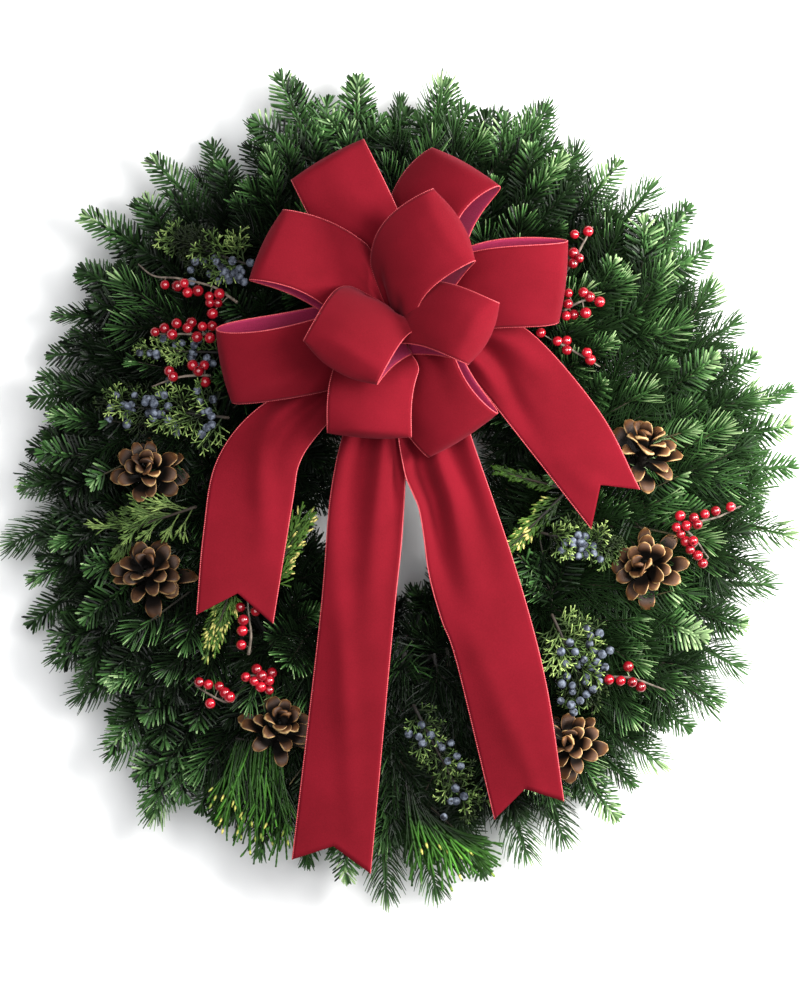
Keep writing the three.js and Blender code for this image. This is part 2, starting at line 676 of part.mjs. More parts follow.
function outlineSprays() {
  return OUTLINE.map(([deg, reach, lean], i) => {
    const high = TIP_HEIGHTS[i % TIP_HEIGHTS.length];
    const back = ((reach - SHELF) * Math.tan(rad(lean * 0.8))) / SHELF;
    const base = polar(SHELF, deg - THREE.MathUtils.radToDeg(back), 20 + high * 0.25);
    const tip = polar(reach, deg, high * 0.8);
    return { base: rooted(base), tip, pairs: i % 2 ? LONG_PAIRS : SHORT_PAIRS };
  });
}

// Shorter sprays in rows over the top of the ring and round the hole. The bow presses the
// upper rows flat, so they leave out the ones under it.
function faceSprays(draw) {
  const sprays = [];
  const rows = [
    { count: 14, from: 180, to: 246, low: CORE_TOP - 8, high: 92, pressed: true },
    { count: 11, from: 156, to: 196, low: CORE_TOP - 8, high: FOLIAGE_TOP, pressed: true },
    { count: 9, from: 136, to: 104, low: CORE_TOP - 8, high: 98, pressed: true },
    { count: 10, from: 124, to: HOLE_R + 4, low: 26, high: 44, pressed: false },
  ];
  rows.forEach((row, r) => {
    for (let i = 0; i < row.count; i += 1) {
      const deg = (360 * (i + 0.5 * (r % 2) + 0.5 * (draw() - 0.5))) / row.count;
      const lean = 16 * (draw() - 0.3);
      const tip = polar(row.to + 10 * (draw() - 0.5), deg + lean, row.high - 10 * draw());
      if (row.pressed && Math.abs(deg - 90) < UNDER_BOW) continue;
      sprays.push({ base: rooted(polar(row.from, deg, row.low)), tip, pairs: SHORT_PAIRS });
    }
  });
  return sprays;
}

const bunchOf = (point) => {
  const deg = THREE.MathUtils.radToDeg(Math.atan2(point.y, point.x));
  return Math.floor(((deg + 360) % 360) / STEP);
};

// Other ways for a spray that meets another piece: turned, raised or lowered, then shorter.
function tries({ base, tip }) {
  const ways = [];
  for (const share of [1, 0.85, 0.7]) {
    for (const [turn, lift] of [[0, 0], [3, 0], [-3, 0], [0, 10], [0, -10], [6, 8], [-6, 8]]) {
      const end = mix(base, tip, share).applyAxisAngle(vec(0, 0, 1), rad(turn));
      const start = base.clone().applyAxisAngle(vec(0, 0, 1), rad(turn * 0.6));
      ways.push({ base: start, tip: end.setZ(Math.max(end.z + lift, 8)) });
    }
  }
  return ways;
}

function makeBunches() {
  const draw = stream(SEED);
  const sprays = [...outlineSprays(), ...faceSprays(draw)];
  const bunches = [];
  for (let k = 0; k < BUNCHES; k += 1) {
    const name = `fir_bunch_${String(k + 1).padStart(2, '0')}`;
    let core = coreSolid(k);
    for (const hole of holes) core = core.subtract(hole);
    bunches.push({ name, solids: [core], core });
    keep(name, core);
  }
  for (const spray of sprays) {
    const bunch = bunches[bunchOf(spray.base)];
    const free = tries(spray).find(({ base, tip }) => {
      const { solid } = twig([base, tip], [SPRAY_R, 0]);
      return solid.intersect(bunch.core).volume() > SEATED && !blocked(solid, bunch.name);
    });
    if (!free) continue;
    firSpray(free.base, free.tip, spray.pairs, draw).forEach((part, i) => {
      if (i > 0 && blocked(part.solid, bunch.name)) return;
      bunch.solids.push(part.solid);
      keep(bunch.name, part.zone);
    });
  }
  for (const bunch of bunches) {
    addMesh(bunch.name, toGeometry(wasm.Manifold.union(bunch.solids)), FIR);
  }
}

// ---------------------------------------------------------------- the wreath
makeRing();
makeTie();
for (const [name, shape] of Object.entries(LOOPS)) {
  addBand(`bow_loop_${name}`, loopRows(shape, LOOP_STEPS));
}
for (const [name, shape] of Object.entries(TAILS)) {
  addBand(`bow_tail_${name}`, tailRows(shape, TAIL_STEPS));
}
makeCones();
makeSprigs();
for (const [number, spray] of Object.entries(JUNIPERS)) {
  scalySpray(`juniper_spray_${number}`, { ...spray, seed: 100 + Number(number) }, JUNIPER);
}
for (const [number, spray] of Object.entries(CEDARS)) {
  scalySpray(`cedar_spray_${number}`, { ...spray, seed: 200 + Number(number) }, CEDAR);
}
for (const [number, spray] of Object.entries(PINES)) {
  pineSpray(`pine_spray_${number}`, { ...spray, seed: 300 + Number(number) });
}
makeBunches();

export default wreath;
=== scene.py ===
"""Fresh evergreen wreath with a red velvet bow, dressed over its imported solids.

Shapes are in millimetres in the wreath's own frame (+Z to the viewer, +Y to the top) and become
metres when a mesh is made.
"""
from math import acos, atan2, cos, degrees, hypot, log, pi, radians, sin, sqrt, tan

import bpy
import numpy as np
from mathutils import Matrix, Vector
from mathutils.bvhtree import BVHTree


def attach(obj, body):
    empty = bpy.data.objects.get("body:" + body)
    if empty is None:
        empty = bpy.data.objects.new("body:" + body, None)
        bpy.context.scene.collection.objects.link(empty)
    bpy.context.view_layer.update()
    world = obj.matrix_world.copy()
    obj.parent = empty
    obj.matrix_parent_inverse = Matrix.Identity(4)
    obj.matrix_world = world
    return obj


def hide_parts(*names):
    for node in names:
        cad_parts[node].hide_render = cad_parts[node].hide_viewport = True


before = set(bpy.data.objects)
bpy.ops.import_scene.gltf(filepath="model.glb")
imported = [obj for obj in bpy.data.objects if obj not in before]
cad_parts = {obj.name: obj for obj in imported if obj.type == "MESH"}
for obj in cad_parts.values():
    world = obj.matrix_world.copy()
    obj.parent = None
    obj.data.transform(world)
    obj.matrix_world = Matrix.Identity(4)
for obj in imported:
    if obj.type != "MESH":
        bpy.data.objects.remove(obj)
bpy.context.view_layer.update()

MM = 0.001
GOLDEN = radians(137.508)
UP = np.array([0.0, 0.0, 1.0])

# --- driving sizes
RING_R, WIRE_R = 152, 2.0  # the wire ring
BUNCHES = 12
STEP = 360 / BUNCHES
CLAMP_AT = 3  # degrees from the start of a bunch to its clamp
NECK_HALF, NECK_TOP = 12, 20  # half the width and the height of a bunch's tied neck
STEMS_IN, STEMS_OUT, STEMS_Z = 136, 180, 40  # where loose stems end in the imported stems
RIBBON_W, RIBBON_T = 64, 0.9
EDGE_R = 0.55  # radius of the stitched edge thread
TIE, TIE_R = np.array([0.0, 126.0, 0.0]), 6
KNOT_LOW, KNOT_HIGH = 106, 134
BERRY_R, BLUE_BERRY_R = 4.0, 3.2
CONE_R, CONE_H = 30, 46
VIEW_HEIGHT = 780  # what the photograph's height spans at the wreath
VIEW_PLANE = 60  # height above the floor of the plane where that span holds
VIEW_MIDDLE_Y = -10
CAMERA_AWAY = 4000
CELL = 5.0  # grid on which the top of the greens is found


# --- small tools
def unit(a):
    return a / np.maximum(np.linalg.norm(a, axis=-1, keepdims=True), 1e-9)


def smooth(low, high, x):
    t = np.clip((x - low) / (high - low), 0, 1)
    return t * t * (3 - 2 * t)


def polar(r, deg, z):
    return np.array([r * cos(radians(deg)), r * sin(radians(deg)), z])


def bearing(point):
    return degrees(atan2(point[1], point[0]))


def by_turns(n):
    """-1 and 1 by turns, n in all."""
    return np.where(np.arange(n) % 2, 1.0, -1.0)


def turned(v, axis, angle):
    """Each row of v turned about the unit vector axis."""
    c, s = np.cos(angle), np.sin(angle)
    if np.ndim(angle):
        c, s = c[:, None], s[:, None]
    along = np.sum(v * axis, axis=-1, keepdims=True)
    return v * c + np.cross(axis, v) * s + axis * along * (1 - c)


def catmull(points, steps):
    """A smooth curve through the points."""
    p = np.vstack([2 * points[0] - points[1], points, 2 * points[-1] - points[-2]])
    t = np.linspace(0, 1, steps, endpoint=False)[:, None]
    rows = [0.5 * (2 * b + (c - a) * t + (2 * a - 5 * b + 4 * c - d) * t**2
                   + (3 * b - a - 3 * c + d) * t**3)
            for a, b, c, d in zip(p, p[1:], p[2:], p[3:])]
    return np.vstack([*rows, points[-1:]])


def sampled(t, at, rows):
    """The rows' values at each t, where at holds the rows' own places."""
    return np.stack([np.interp(t, at, rows[:, i]) for i in range(3)], axis=1)


def resample(path, count, curved=True):
    """The path with count points, evenly spaced along it, on a smooth curve through it."""
    path = np.asarray(path, float)
    if curved and len(path) > 2:
        path = catmull(path, 8)
    far = np.r_[0, np.cumsum(np.linalg.norm(np.diff(path, axis=0), axis=1))]
    return sampled(np.linspace(0, far[-1], count), far, path)


def path_length(path):
    return float(np.sum(np.linalg.norm(np.diff(path, axis=0), axis=1)))


def hand_of(k):
    """Which side the k-th shoot of a stem is on."""
    return 1 if k % 2 else -1


def line(start, end):
    """The two ends of a spray as points, its direction, its side and its length."""
    root, tip = np.array(start, float), np.array(end, float)
    axis = unit(tip - root)
    return root, tip, axis, unit(np.cross(axis, UP)), float(np.linalg.norm(tip - root))


def nearest(a, b, places):
    """The points of the line from a to b that lie nearest to the places, seen from above."""
    ab = b - a
    t = np.clip((places - a[:2]) @ ab[:2] / max(ab[:2] @ ab[:2], 1e-9), 0, 1)
    return a + ab * t[..., None]


def drawn(table, seed):
    """A table's rows, each with its number and its own random draws."""
    for number, row in enumerate(table, 1):
        yield number, np.random.default_rng(seed + number), row


class Skin:
    """The points and faces of one piece. tone is a shade from 0 to 1 that is laid the same all over
    a needle, scale or berry, and in the greens it later takes painted shade too, and along runs
    from 0 at its root to 1 at its end."""

    def __init__(self):
        self.points, self.tone, self.along, self.count = [], [], [], 0
        self.faces, self.slots = {4: [], 3: []}, {4: [], 3: []}

    def add(self, points, faces, slot=0, tone=0.5, along=0.0):
        points = np.asarray(points, float).reshape(-1, 3)
        for group in faces:
            corners = group.shape[1]
            self.faces[corners].append(group + self.count)
            self.slots[corners].append(np.full(len(group), slot))
        self.points.append(points)
        self.tone.append(np.resize(tone, len(points)))
        self.along.append(np.resize(along, len(points)))
        self.count += len(points)

    def mesh(self, name):
        points = np.vstack(self.points) * MM
        loops = np.concatenate([f.ravel() for k in (4, 3) for f in self.faces[k]])
        sizes = np.concatenate([np.full(len(f), k) for k in (4, 3) for f in self.faces[k]])
        slots = np.concatenate([*self.slots[4], *self.slots[3]])
        mesh = bpy.data.meshes.new(name)
        mesh.vertices.add(len(points))
        mesh.vertices.foreach_set("co", points.astype(np.float32).ravel())
        mesh.loops.add(len(loops))
        mesh.loops.foreach_set("vertex_index", loops.astype(np.int32))
        mesh.polygons.add(len(sizes))
        mesh.polygons.foreach_set("loop_start", (np.cumsum(sizes) - sizes).astype(np.int32))
        mesh.polygons.foreach_set("material_index", slots.astype(np.int32))
        for key, values in (("tone", self.tone), ("along", self.along)):
            layer = mesh.attributes.new(key, "FLOAT", "POINT")
            layer.data.foreach_set("value", np.concatenate(values).astype(np.float32))
        mesh.update(calc_edges=True)
        return mesh


def add_object(name, data):
    thing = bpy.data.objects.new(name, data)
    bpy.context.scene.collection.objects.link(thing)
    return thing


def make_piece(name, skin, paints, slot, node, flat_shaded=False):
    """Makes the piece's object, which stands for the node and rides with the wreath."""
    mesh = skin.mesh(name)
    mesh.polygons.foreach_set("use_smooth", np.full(len(mesh.polygons), not flat_shaded))
    piece = add_object(name, mesh)
    for paint in paints:
        mesh.materials.append(paint.material)
    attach(piece, "root")
    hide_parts(node)
    return piece


greens = []  # the pieces of foliage, held until all of them are laid


def hold_green(*piece):
    greens.append(piece)


def make_greens():
    """Makes the held pieces with painted shade: darker the further a point lies below the greens round
    it, less so at the outline and on the right, where more light falls.
    """
    every = [np.vstack(piece[1].points) for piece in greens]
    low = np.min([points.min(axis=0) for points in every], axis=0)[:2]
    places = [tuple((((points[:, :2] - low) / CELL).astype(int) + 3).T) for points in every]
    top = np.zeros(np.max([np.max(place, axis=1) for place in places], axis=0) + 4)
    for points, place in zip(every, places):
        np.maximum.at(top, place, points[:, 2])
    moves = [(x, y) for x in (-1, 0, 1) for y in (-1, 0, 1)]
    for pool in (np.max, np.max, np.mean, np.mean):
        top = pool([np.roll(top, move, (0, 1)) for move in moves], axis=0)
    for piece, points, place in zip(greens, every, places):
        away = np.hypot(points[:, 0], points[:, 1])
        # painted shade under the tops of the greens, eased at the outline and on the right where more
        # light falls
        dark = smooth(1.5, 14, top[place] - points[:, 2]) * (
            1 - 0.4 * smooth(262, 300, away)) * (1 - 0.08 * smooth(80, 220, points[:, 0]))
        piece[1].tone = [np.concatenate(piece[1].tone) * (1 - 0.95 * dark)]
        make_piece(*piece)


def lattice(rows, columns, wrap=False):
    """The quads of a grid of points. wrap joins its last column to its first."""
    r = np.arange(rows - 1)[:, None] * columns
    c = np.arange(columns if wrap else columns - 1)[None, :]
    after = (c + 1) % columns
    return np.stack([r + c, r + after, r + columns + after, r + columns + c],
                    axis=-1).reshape(-1, 4)


def closed(rows, sides):
    """The faces of a grid that goes round, and fans that close its ends on two more points."""
    i = np.arange(sides)
    j = (i + 1) % sides
    end, base = np.full(sides, rows * sides), (rows - 1) * sides
    return [lattice(rows, sides, wrap=True),
            np.vstack([np.stack([end, j, i], 1), np.stack([end + 1, base + i, base + j], 1)])]


def rim_of(rows, columns):
    """The points round the edge of a grid, in order."""
    return np.r_[np.arange(columns), columns * np.arange(1, rows) + columns - 1,
                 (rows - 1) * columns + np.arange(columns - 2, -1, -1),
                 columns * np.arange(rows - 2, 0, -1)]


def frames_along(path):
    """The way on, the side and the upper direction at each point of a path."""
    on = unit(np.gradient(path, axis=0))
    side = np.cross(UP, on[0])
    if np.linalg.norm(side) < 0.2:
        side = np.cross([1.0, 0, 0], on[0])
    sides, ups = [], []
    for way in on:
        side = unit(side - way * np.dot(side, way))
        sides.append(side)
        ups.append(np.cross(way, side))
    return on, np.array(sides), np.array(ups)


def add_tube(skin, path, radius, sides=6, slot=0, tone=0.5, along=None):
    """A closed round rod along a path. radius is a number, one for each point, or the tuple of
    those at its two ends."""
    path = np.asarray(path, float)
    count = len(path)
    radius = (np.linspace(*radius, count) if isinstance(radius, tuple)
              else np.broadcast_to(radius, count))
    _, side, up = frames_along(path)
    turn = np.linspace(0, 2 * pi, sides, endpoint=False)[:, None]
    ring = side[:, None] * np.cos(turn) + up[:, None] * np.sin(turn)
    points = path[:, None] + ring * radius[:, None, None]
    points = np.vstack([points.reshape(-1, 3), path[:1], path[-1:]])
    share = np.repeat(np.linspace(0, 1, count) if along is None else np.full(count, along),
                      sides)
    skin.add(points, closed(count, sides), slot, tone, np.r_[share, share[0], share[-1]])


def add_stem(skin, points, count, radius, sides=7):
    """A bare stem on a smooth curve, in the piece's second material."""
    add_tube(skin, resample(points, count), radius, sides, 1)


def stem_foot(point, further=6):
    """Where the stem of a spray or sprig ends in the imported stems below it."""
    far = hypot(point[0], point[1]) + further
    return polar(min(max(far, STEMS_IN), STEMS_OUT), bearing(point), STEMS_Z)


def add_ball(skin, centre, radius, tone=0.5, pole=UP, rings=9, sides=14, dimple=0.0, rough=0.0,
             rng=None):
    """A round berry. along runs from 0 at its stalk to 1 at the pole, which may be dimpled."""
    pole = unit(pole)
    side = unit(np.cross(pole, [0.3, 0.9, 0.1]))
    other = np.cross(pole, side)
    turn = np.linspace(0, 2 * pi, sides, endpoint=False)[:, None]
    angle = np.linspace(pi, 0, rings + 2)[1:-1]
    far = radius * (1 - dimple * smooth(0.55, 0.0, angle))
    if rough:
        far = far * (1 + rough * rng.uniform(-1, 1, len(angle)))
    points = (pole * (np.cos(angle) * far)[:, None, None]
              + (side * np.cos(turn) + other * np.sin(turn))[None]
              * (np.sin(angle) * far)[:, None, None])
    ends = [-pole * radius, pole * radius * (1 - dimple * 1.3)]
    points = np.vstack([points.reshape(-1, 3), ends]) + centre
    along = np.r_[np.repeat((1 + np.cos(angle)) / 2, sides), 0, 1]
    skin.add(points, closed(rings, sides), 0, tone, along)


# --- materials
class Paint:
    """A material. Its colour is its layers multiplied: each is the key of a source and the stops
    of its ramp. bump is the key, strength and distance of a raised grain, and dust is a layer
    that says where a colour covers the others, with that colour."""

    def __init__(self, name, roughness, *layers, bump=None, dust=None, **inputs):
        self.material = bpy.data.materials.new(name)
        self.material.use_nodes = True
        self.tree = self.material.node_tree
        self.sources = {}
        inputs["Roughness"] = roughness
        if layers:
            body, *others = [self.ramp(*layer) for layer in layers]
            for other in others:
                body = self.blend(1.0, body, other, "MULTIPLY")
            inputs["Base_Color"] = self.blend(self.ramp(*dust[0]), body, dust[1]) if dust else body
        if bump:
            key, strength, distance = bump
            inputs["Normal"] = self.node("ShaderNodeBump", {
                "Height": self.source(key), "Strength": strength, "Distance": distance}).outputs[0]
        shader = self.tree.nodes["Principled BSDF"]
        for key, value in inputs.items():
            self.feed(shader.inputs[key.replace("_", " ")], value)

    def feed(self, socket, source):
        """Links a socket to the source, or sets it to a number or to a colour of three."""
        if isinstance(source, bpy.types.NodeSocket):
            self.tree.links.new(source, socket)
        else:
            socket.default_value = (*source, 1) if isinstance(source, tuple) else source

    def node(self, kind, feeds, **values):
        node = self.tree.nodes.new(kind)
        for key, value in values.items():
            setattr(node, key, value)
        for socket, source in feeds.items():
            self.feed(node.inputs[socket], source)
        return node

    def source(self, key):
        """The value of an attribute, by its name, or of a noise, by its scale and detail."""
        if key not in self.sources:
            if isinstance(key, str):
                node = self.node("ShaderNodeAttribute", {}, attribute_name=key)
            else:
                place = self.node("ShaderNodeTexCoord", {}).outputs["Object"]
                node = self.node("ShaderNodeTexNoise", {"Vector": place, "Scale": key[0],
                                                        "Detail": key[1]})
            self.sources[key] = node.outputs["Fac"]
        return self.sources[key]

    def ramp(self, key, *stops):
        """Colours by a source's value. A stop's single number is a grey."""
        node = self.node("ShaderNodeValToRGB", {"Fac": self.source(key)})
        while len(node.color_ramp.elements) < len(stops):
            node.color_ramp.elements.new(0.5)
        for element, (at, colour) in zip(node.color_ramp.elements, stops):
            element.position = at
            element.color = (*(colour if isinstance(colour, tuple) else (colour,) * 3), 1)
        return node.outputs["Color"]

    def blend(self, factor, a, b, mode="MIX"):
        return self.node("ShaderNodeMix", {0: factor, 6: a, 7: b}, data_type="RGBA",
                         blend_type=mode).outputs[2]


def rgb(*colour):
    """A colour given as it is read on a screen, 0 to 255."""
    return tuple((c / 255 / 12.92) if c <= 10 else ((c / 255 + 0.055) / 1.055) ** 2.4
                 for c in colour)


def grain(key, dark, light, low=0.3, high=0.7):
    """A layer of two colours in a noise."""
    return key, (low, rgb(*dark)), (high, rgb(*light))


def needle_paint(name, deep_and_shaded, fresh, tip, roughness):
    """Needles: tone runs from a near-black green, the colour painted shade goes to, to fresh, and the
    roots are painted much darker than the ends, as painted shade where they crowd the stem.
    """
    return Paint(name, roughness,
                 ("tone", (0.0, rgb(*deep_and_shaded)), (0.55, rgb(*fresh)), (1.0, rgb(*tip))),
                 ((160, 3), (0.3, 0.8), (0.7, 1.15)),
                 # painted shade: the roots of needles and shoots much darker than their ends
                 ("along", (0.0, 0.25), (0.35, 0.9), (1.0, (1.25, 1.25, 1.2))),
                 Specular_IOR_Level=0.15)


def bark_paint(name, dark, light):
    # tone darkens the bark, so twigs take the painted shade laid on the greens' tone
    return Paint(name, 0.8, grain((220, 4), dark, light), ("tone", (0.0, 0.1), (0.4, 1.0)),
                 bump=((220, 4), 0.5, 0.0004))


VELVET = Paint("velvet", 0.95, grain((22, 3), (98, 12, 23), (110, 15, 28)),
               ((900, 4), (0.2, 0.86), (0.8, 1.08)), bump=((900, 4), 0.25, 0.0003),
               Sheen_Weight=0.12, Sheen_Roughness=0.4, Sheen_Tint=(1.0, 0.2, 0.28),
               Specular_IOR_Level=0.08)
LINING = Paint("ribbon_back", 0.7, grain((1100, 2), (134, 22, 60), (156, 32, 76)),
               bump=((1100, 2), 0.3, 0.0002), Sheen_Weight=0.15, Specular_IOR_Level=0.25)
THREAD = Paint("edge_thread", 0.55, grain((700, 2), (168, 44, 54), (205, 84, 90)),
               Specular_IOR_Level=0.4)
RED_BERRY = Paint("red_berry", 0.2, ("tone", (0.0, rgb(112, 7, 19)), (1.0, rgb(168, 20, 36))),
                  ("along", (0.0, 1.0), (0.975, 1.0), (0.99, (0.2, 0.14, 0.1))),
                  Specular_IOR_Level=0.6, Coat_Weight=0.35, Coat_Roughness=0.12)
BLUE_BERRY = Paint("blue_berry", 0.62, ("tone", (0.0, rgb(16, 19, 26)), (1.0, rgb(52, 58, 72))),
                   dust=(((300, 3), (0.42, 0.0), (0.64, 1.0)), rgb(110, 118, 132)),
                   bump=((300, 3), 0.2, 0.0003), Specular_IOR_Level=0.3)
# Cone scales are dark inside, their brown darkened further by painted shade between the scales, and
# warm brown at the end, with a thin cream rim.
CONE_SCALE = Paint(
    "cone_scale", 0.6,
    ("along", (0.0, rgb(10, 6, 3)), (0.22, rgb(26, 15, 8)), (0.42, rgb(58, 35, 18)),
     (0.62, rgb(92, 58, 30)), (0.78, rgb(132, 92, 52)), (1.0, rgb(216, 184, 130))),
    ((240, 4), (0.25, 0.62), (0.75, 1.15)),
    ("tone", (0.0, (0.5, 0.46, 0.42)), (1.0, (1.12, 1.1, 1.06))),
    bump=((240, 4), 0.35, 0.0004), Specular_IOR_Level=0.3)
GREEN_WIRE = Paint("green_wire", 0.4, grain((300, 4), (30, 52, 36), (58, 84, 62), 0.35, 0.75),
                   Metallic=0.6)
FIR_NEEDLE = needle_paint("fir_needle", (5, 11, 5), (61, 97, 50), (154, 180, 130), 0.42)
PINE_NEEDLE = needle_paint("pine_needle", (10, 24, 6), (72, 128, 42), (214, 204, 110), 0.45)
JUNIPER_LEAF = needle_paint("juniper_leaf", (10, 16, 6), (74, 98, 48), (150, 170, 100), 0.5)
CEDAR_LEAF = needle_paint("cedar_leaf", (12, 26, 8), (74, 108, 40), (214, 200, 120), 0.5)
YOUNG_TWIG = bark_paint("young_twig", (44, 42, 22), (88, 78, 44))
OLD_STEM = bark_paint("old_stem", (22, 17, 12), (50, 39, 28))
BERRY_TWIG = bark_paint("berry_twig", (56, 46, 40), (116, 104, 92))

# --- the bow's ribbons
# Each loop: the left and the right corner of its fold, the height of its root on the tie, how
# far its upper and lower layers stand off the straight line from root to fold, the share of that
# line where the ribbon has opened to its full width, how far its middle swings to the right
# corner's side, and the share where it swings most.
LOOPS = {
    "a": ((-83, 235, 132), (-28, 266, 134), 125, 10, 12, 0.55, 2, 0.5),
    "b": ((26, 260, 124), (75, 229, 154), 118, 15, 16, 0.45, -13, 0.66),
    "h": ((127.5, 188.5, 155), (121, 124, 134), 124, 17, 16, 0.42, -14, 0.42),
    "j": ((74, 56.5, 142), (22.5, 23, 121), 119, 12, 11, 0.45, 5, 0.6),
    "i": ((8.3, 37.8, 151), (-55.2, 42, 152), 131, 15, 8, 0.42, 8, 0.5),
    "e": ((-129, 65.5, 128), (-139.5, 119, 154), 124, 17, 16, 0.4, -5, 0.4),
    "d": ((-113.5, 157, 177), (-89.5, 210, 165), 133, 15, 10, 0.42, 9, 0.58),
    "c": ((24.5, 225, 190), (57, 170, 201), 137, 24, 12, 0.22, -12, 0.5),
    "f": ((-16.5, 77, 210), (-73, 110.5, 205), 140, 24, 12, 0.2, 10, 0.38),
    "g": ((73, 138.5, 205), (50.5, 92.5, 200), 137, 21, 12, 0.2, -6, 0.5),
}
FRONT = "cfg"  # the loops that stand towards the viewer and close over the tie
LOOP_STEPS = 96
TAIL_STEPS = 90
ACROSS = np.linspace(-1, 1, 25)  # the columns across a ribbon
ROOT_W = 8
# Each tail: the points of its left and its right edge, and the depth of its V-cut end.
TAILS = {
    "left_short": (
        [(-6.3, 123.2, 109), (-52, 92, 109), (-109, 61, 112), (-141, 20, 112), (-151, -35, 115),
         (-156, -98, 121)],
        [(-2.9, 119.9, 109), (-26, 82, 109), (-59, 46, 110), (-77, 20, 113), (-83, -12, 113),
         (-98, -105, 118)], 20),
    "left_long": (
        [(-3, 119.8, 115), (-28, 84, 114), (-44, 39, 114), (-54, -12, 116), (-61, -98, 118),
         (-83, -287, 110)],
        [(1, 119.4, 115), (-1, 84, 113), (4.5, 37, 113), (1.5, -35, 116), (-6, -110, 118),
         (-23, -298, 108)], 16),
    "right_long": (
        [(1.5, 119.2, 108), (-3, 60, 110), (3, 14, 113), (9, -3, 114), (14.4, -16, 115), (18, -36, 116),
         (22.5, -68, 116), (32, -102, 116), (44, -136, 116), (73, -256, 110)],
        [(5, 121, 108), (42, 70, 110), (58, 28, 115), (90, -67, 116), (112, -151, 116),
         (126, -242, 111)], 17),
    "right_short": (
        [(5.5, 121.5, 114), (28, 108, 115), (51, 90, 116), (101, 27, 115), (147, -32, 122)],
        [(7, 125.5, 114), (60, 130, 114), (99, 120, 114), (153, 58, 114), (184, -2, 120)], 22),
}
ribbon_shells = []  # the ribbons' points and faces, to keep needles from going through them


def creases(rng, u, far):
    """Folds that run out from the tie and fade at the share far of the way."""
    total = 0
    for middle in (rng.uniform(-0.65, -0.25), rng.uniform(0.2, 0.6)):
        depth = rng.uniform(3.0, 4.4) * np.exp(-((ACROSS - middle) / 0.2) ** 2)
        total = total - depth * ((1 - smooth(0.1, far, u)) * smooth(0.0, 0.12, u))
    return total


def loop_sheet(key, rng):
    """The middle surface of a loop: rows from its root, round the fold and back."""
    left, right, root_z, rise, fall, full, swing, peak = LOOPS[key]
    left, right = np.array(left, float), np.array(right, float)
    front, v = key in FRONT, ACROSS
    tip = (left + right) / 2
    away = unit((tip - TIE) * [1, 1, 0])
    root = TIE + away * (1.0 if front else TIE_R + 0.6)
    root[2] = root_z
    along, across = tip - root, (right - left) / 2
    square = unit(np.cross(away, UP))
    if np.dot(square, across) < 0:
        square = -square
    square = square * ROOT_W / 2
    out = unit(np.cross(across, along))
    if out[2] < 0:
        out = -out
    turn = pi * np.linspace(-1, 1, LOOP_STEPS + 1)[:, None] * 0.98
    u = (1 + np.cos(turn)) / 2
    off = np.where(turn > 0, rise, fall) * np.sin(turn) * u ** (0.06 if front else 0.4)
    swung = swing * np.sin(pi * u ** (log(0.5) / log(peak)))
    centre = root + along * u + out * off + unit(across) * swung
    centre[:, 2:] += (5 if front else 1.7) * turn / pi
    half = square + (across - square) * smooth(0, full, u)
    half = half * np.minimum(1, RIBBON_W / 2 / np.linalg.norm(half, axis=1, keepdims=True))
    rows = centre[:, None] + half[:, None] * v[:, None]
    side = np.where(turn > 0, 1.0, -1.0) * smooth(0, 0.35, np.abs(np.sin(turn)))
    cup = 5.5 * (1 - v**2) * (side * smooth(0.05, 0.4, u))
    folds = creases(rng, u, full + 0.25) * side
    wave = 0
    for edge in (-1, 1):
        phase, pitch = rng.uniform(0, 6.28), rng.uniform(1.6, 2.6)
        wave = wave + 2.4 * smooth(0.3, 1.0, v * edge) * (
            np.sin(pitch * turn + phase) * smooth(0.25, 0.8, u))
    round_end = 2.2 * (1 - v**2) * smooth(0.9, 1.0, u)
    return rows + out * (cup + folds + wave)[..., None] + unit(along) * round_end[..., None], out


def tail_sheet(left, right, depth, rng):
    """The middle surface of a tail, from the tie to its V-cut end."""
    left, right = resample(left, TAIL_STEPS + 1), resample(right, TAIL_STEPS + 1)
    t, v = np.linspace(0, 1, TAIL_STEPS + 1)[:, None], ACROSS
    rows = left[:, None] * (1 - v[:, None]) / 2 + right[:, None] * (1 + v[:, None]) / 2
    back = unit(rows[-4, len(v) // 2] - rows[-1, len(v) // 2])
    rows = rows + back * (depth * (1 - np.abs(v)) * smooth(0.72, 1.0, t) ** 2)[..., None]
    cup = 2.2 * (1 - v**2) * smooth(0.0, 0.3, t)
    gather = 5.5 * (1 - smooth(0.1, 0.65, t)) * np.sin(
        v * pi * 2 + rng.uniform(0, 6)) * smooth(0.0, 0.08, t)
    phase = rng.uniform(0, 6.28)
    wave = 2.6 * (np.sin(7 * t + phase) * (0.5 + 0.5 * v)
                  + np.sin(5.5 * t + phase * 2) * (0.5 - 0.5 * v))
    ridge = 0.6 * np.sin(4 * t + phase)
    fold = 8.0 * np.exp(-((v - ridge) / 0.3) ** 2) * np.sin(6 * t + phase)
    fold *= (1 - 0.75 * smooth(0.35, 0.8, t)) * smooth(0.04, 0.3, t)
    rows[..., 2] += cup + gather + fold + wave * smooth(0.1, 0.5, t)
    return rows


def add_ribbon(skin, rows, outward):
    """A sheet with velvet on the side that faces outward along its upper layer, a plain back
    and closed sides. Returns its rows in the order used."""
    def normals(rows):
        return unit(np.cross(np.gradient(rows, axis=1), np.gradient(rows, axis=0)))
    steps, columns = rows.shape[:2]
    if np.sum(normals(rows)[int(steps * 0.8), columns // 2] * outward) < 0:
        rows = rows[:, ::-1]
    half = normals(rows) * RIBBON_T / 2
    face = rows + half
    quads = lattice(steps, columns)
    skin.add(face, [quads], 0)
    skin.add(rows - half, [quads[:, ::-1]], 1)
    n = steps * columns
    edge = rim_of(steps, columns)
    after = np.roll(edge, -1)
    skin.add([], [np.stack([edge, edge + n, after + n, after], axis=1) - n * 2])
    ribbon_shells.append((face.reshape(-1, 3), quads))
    return rows


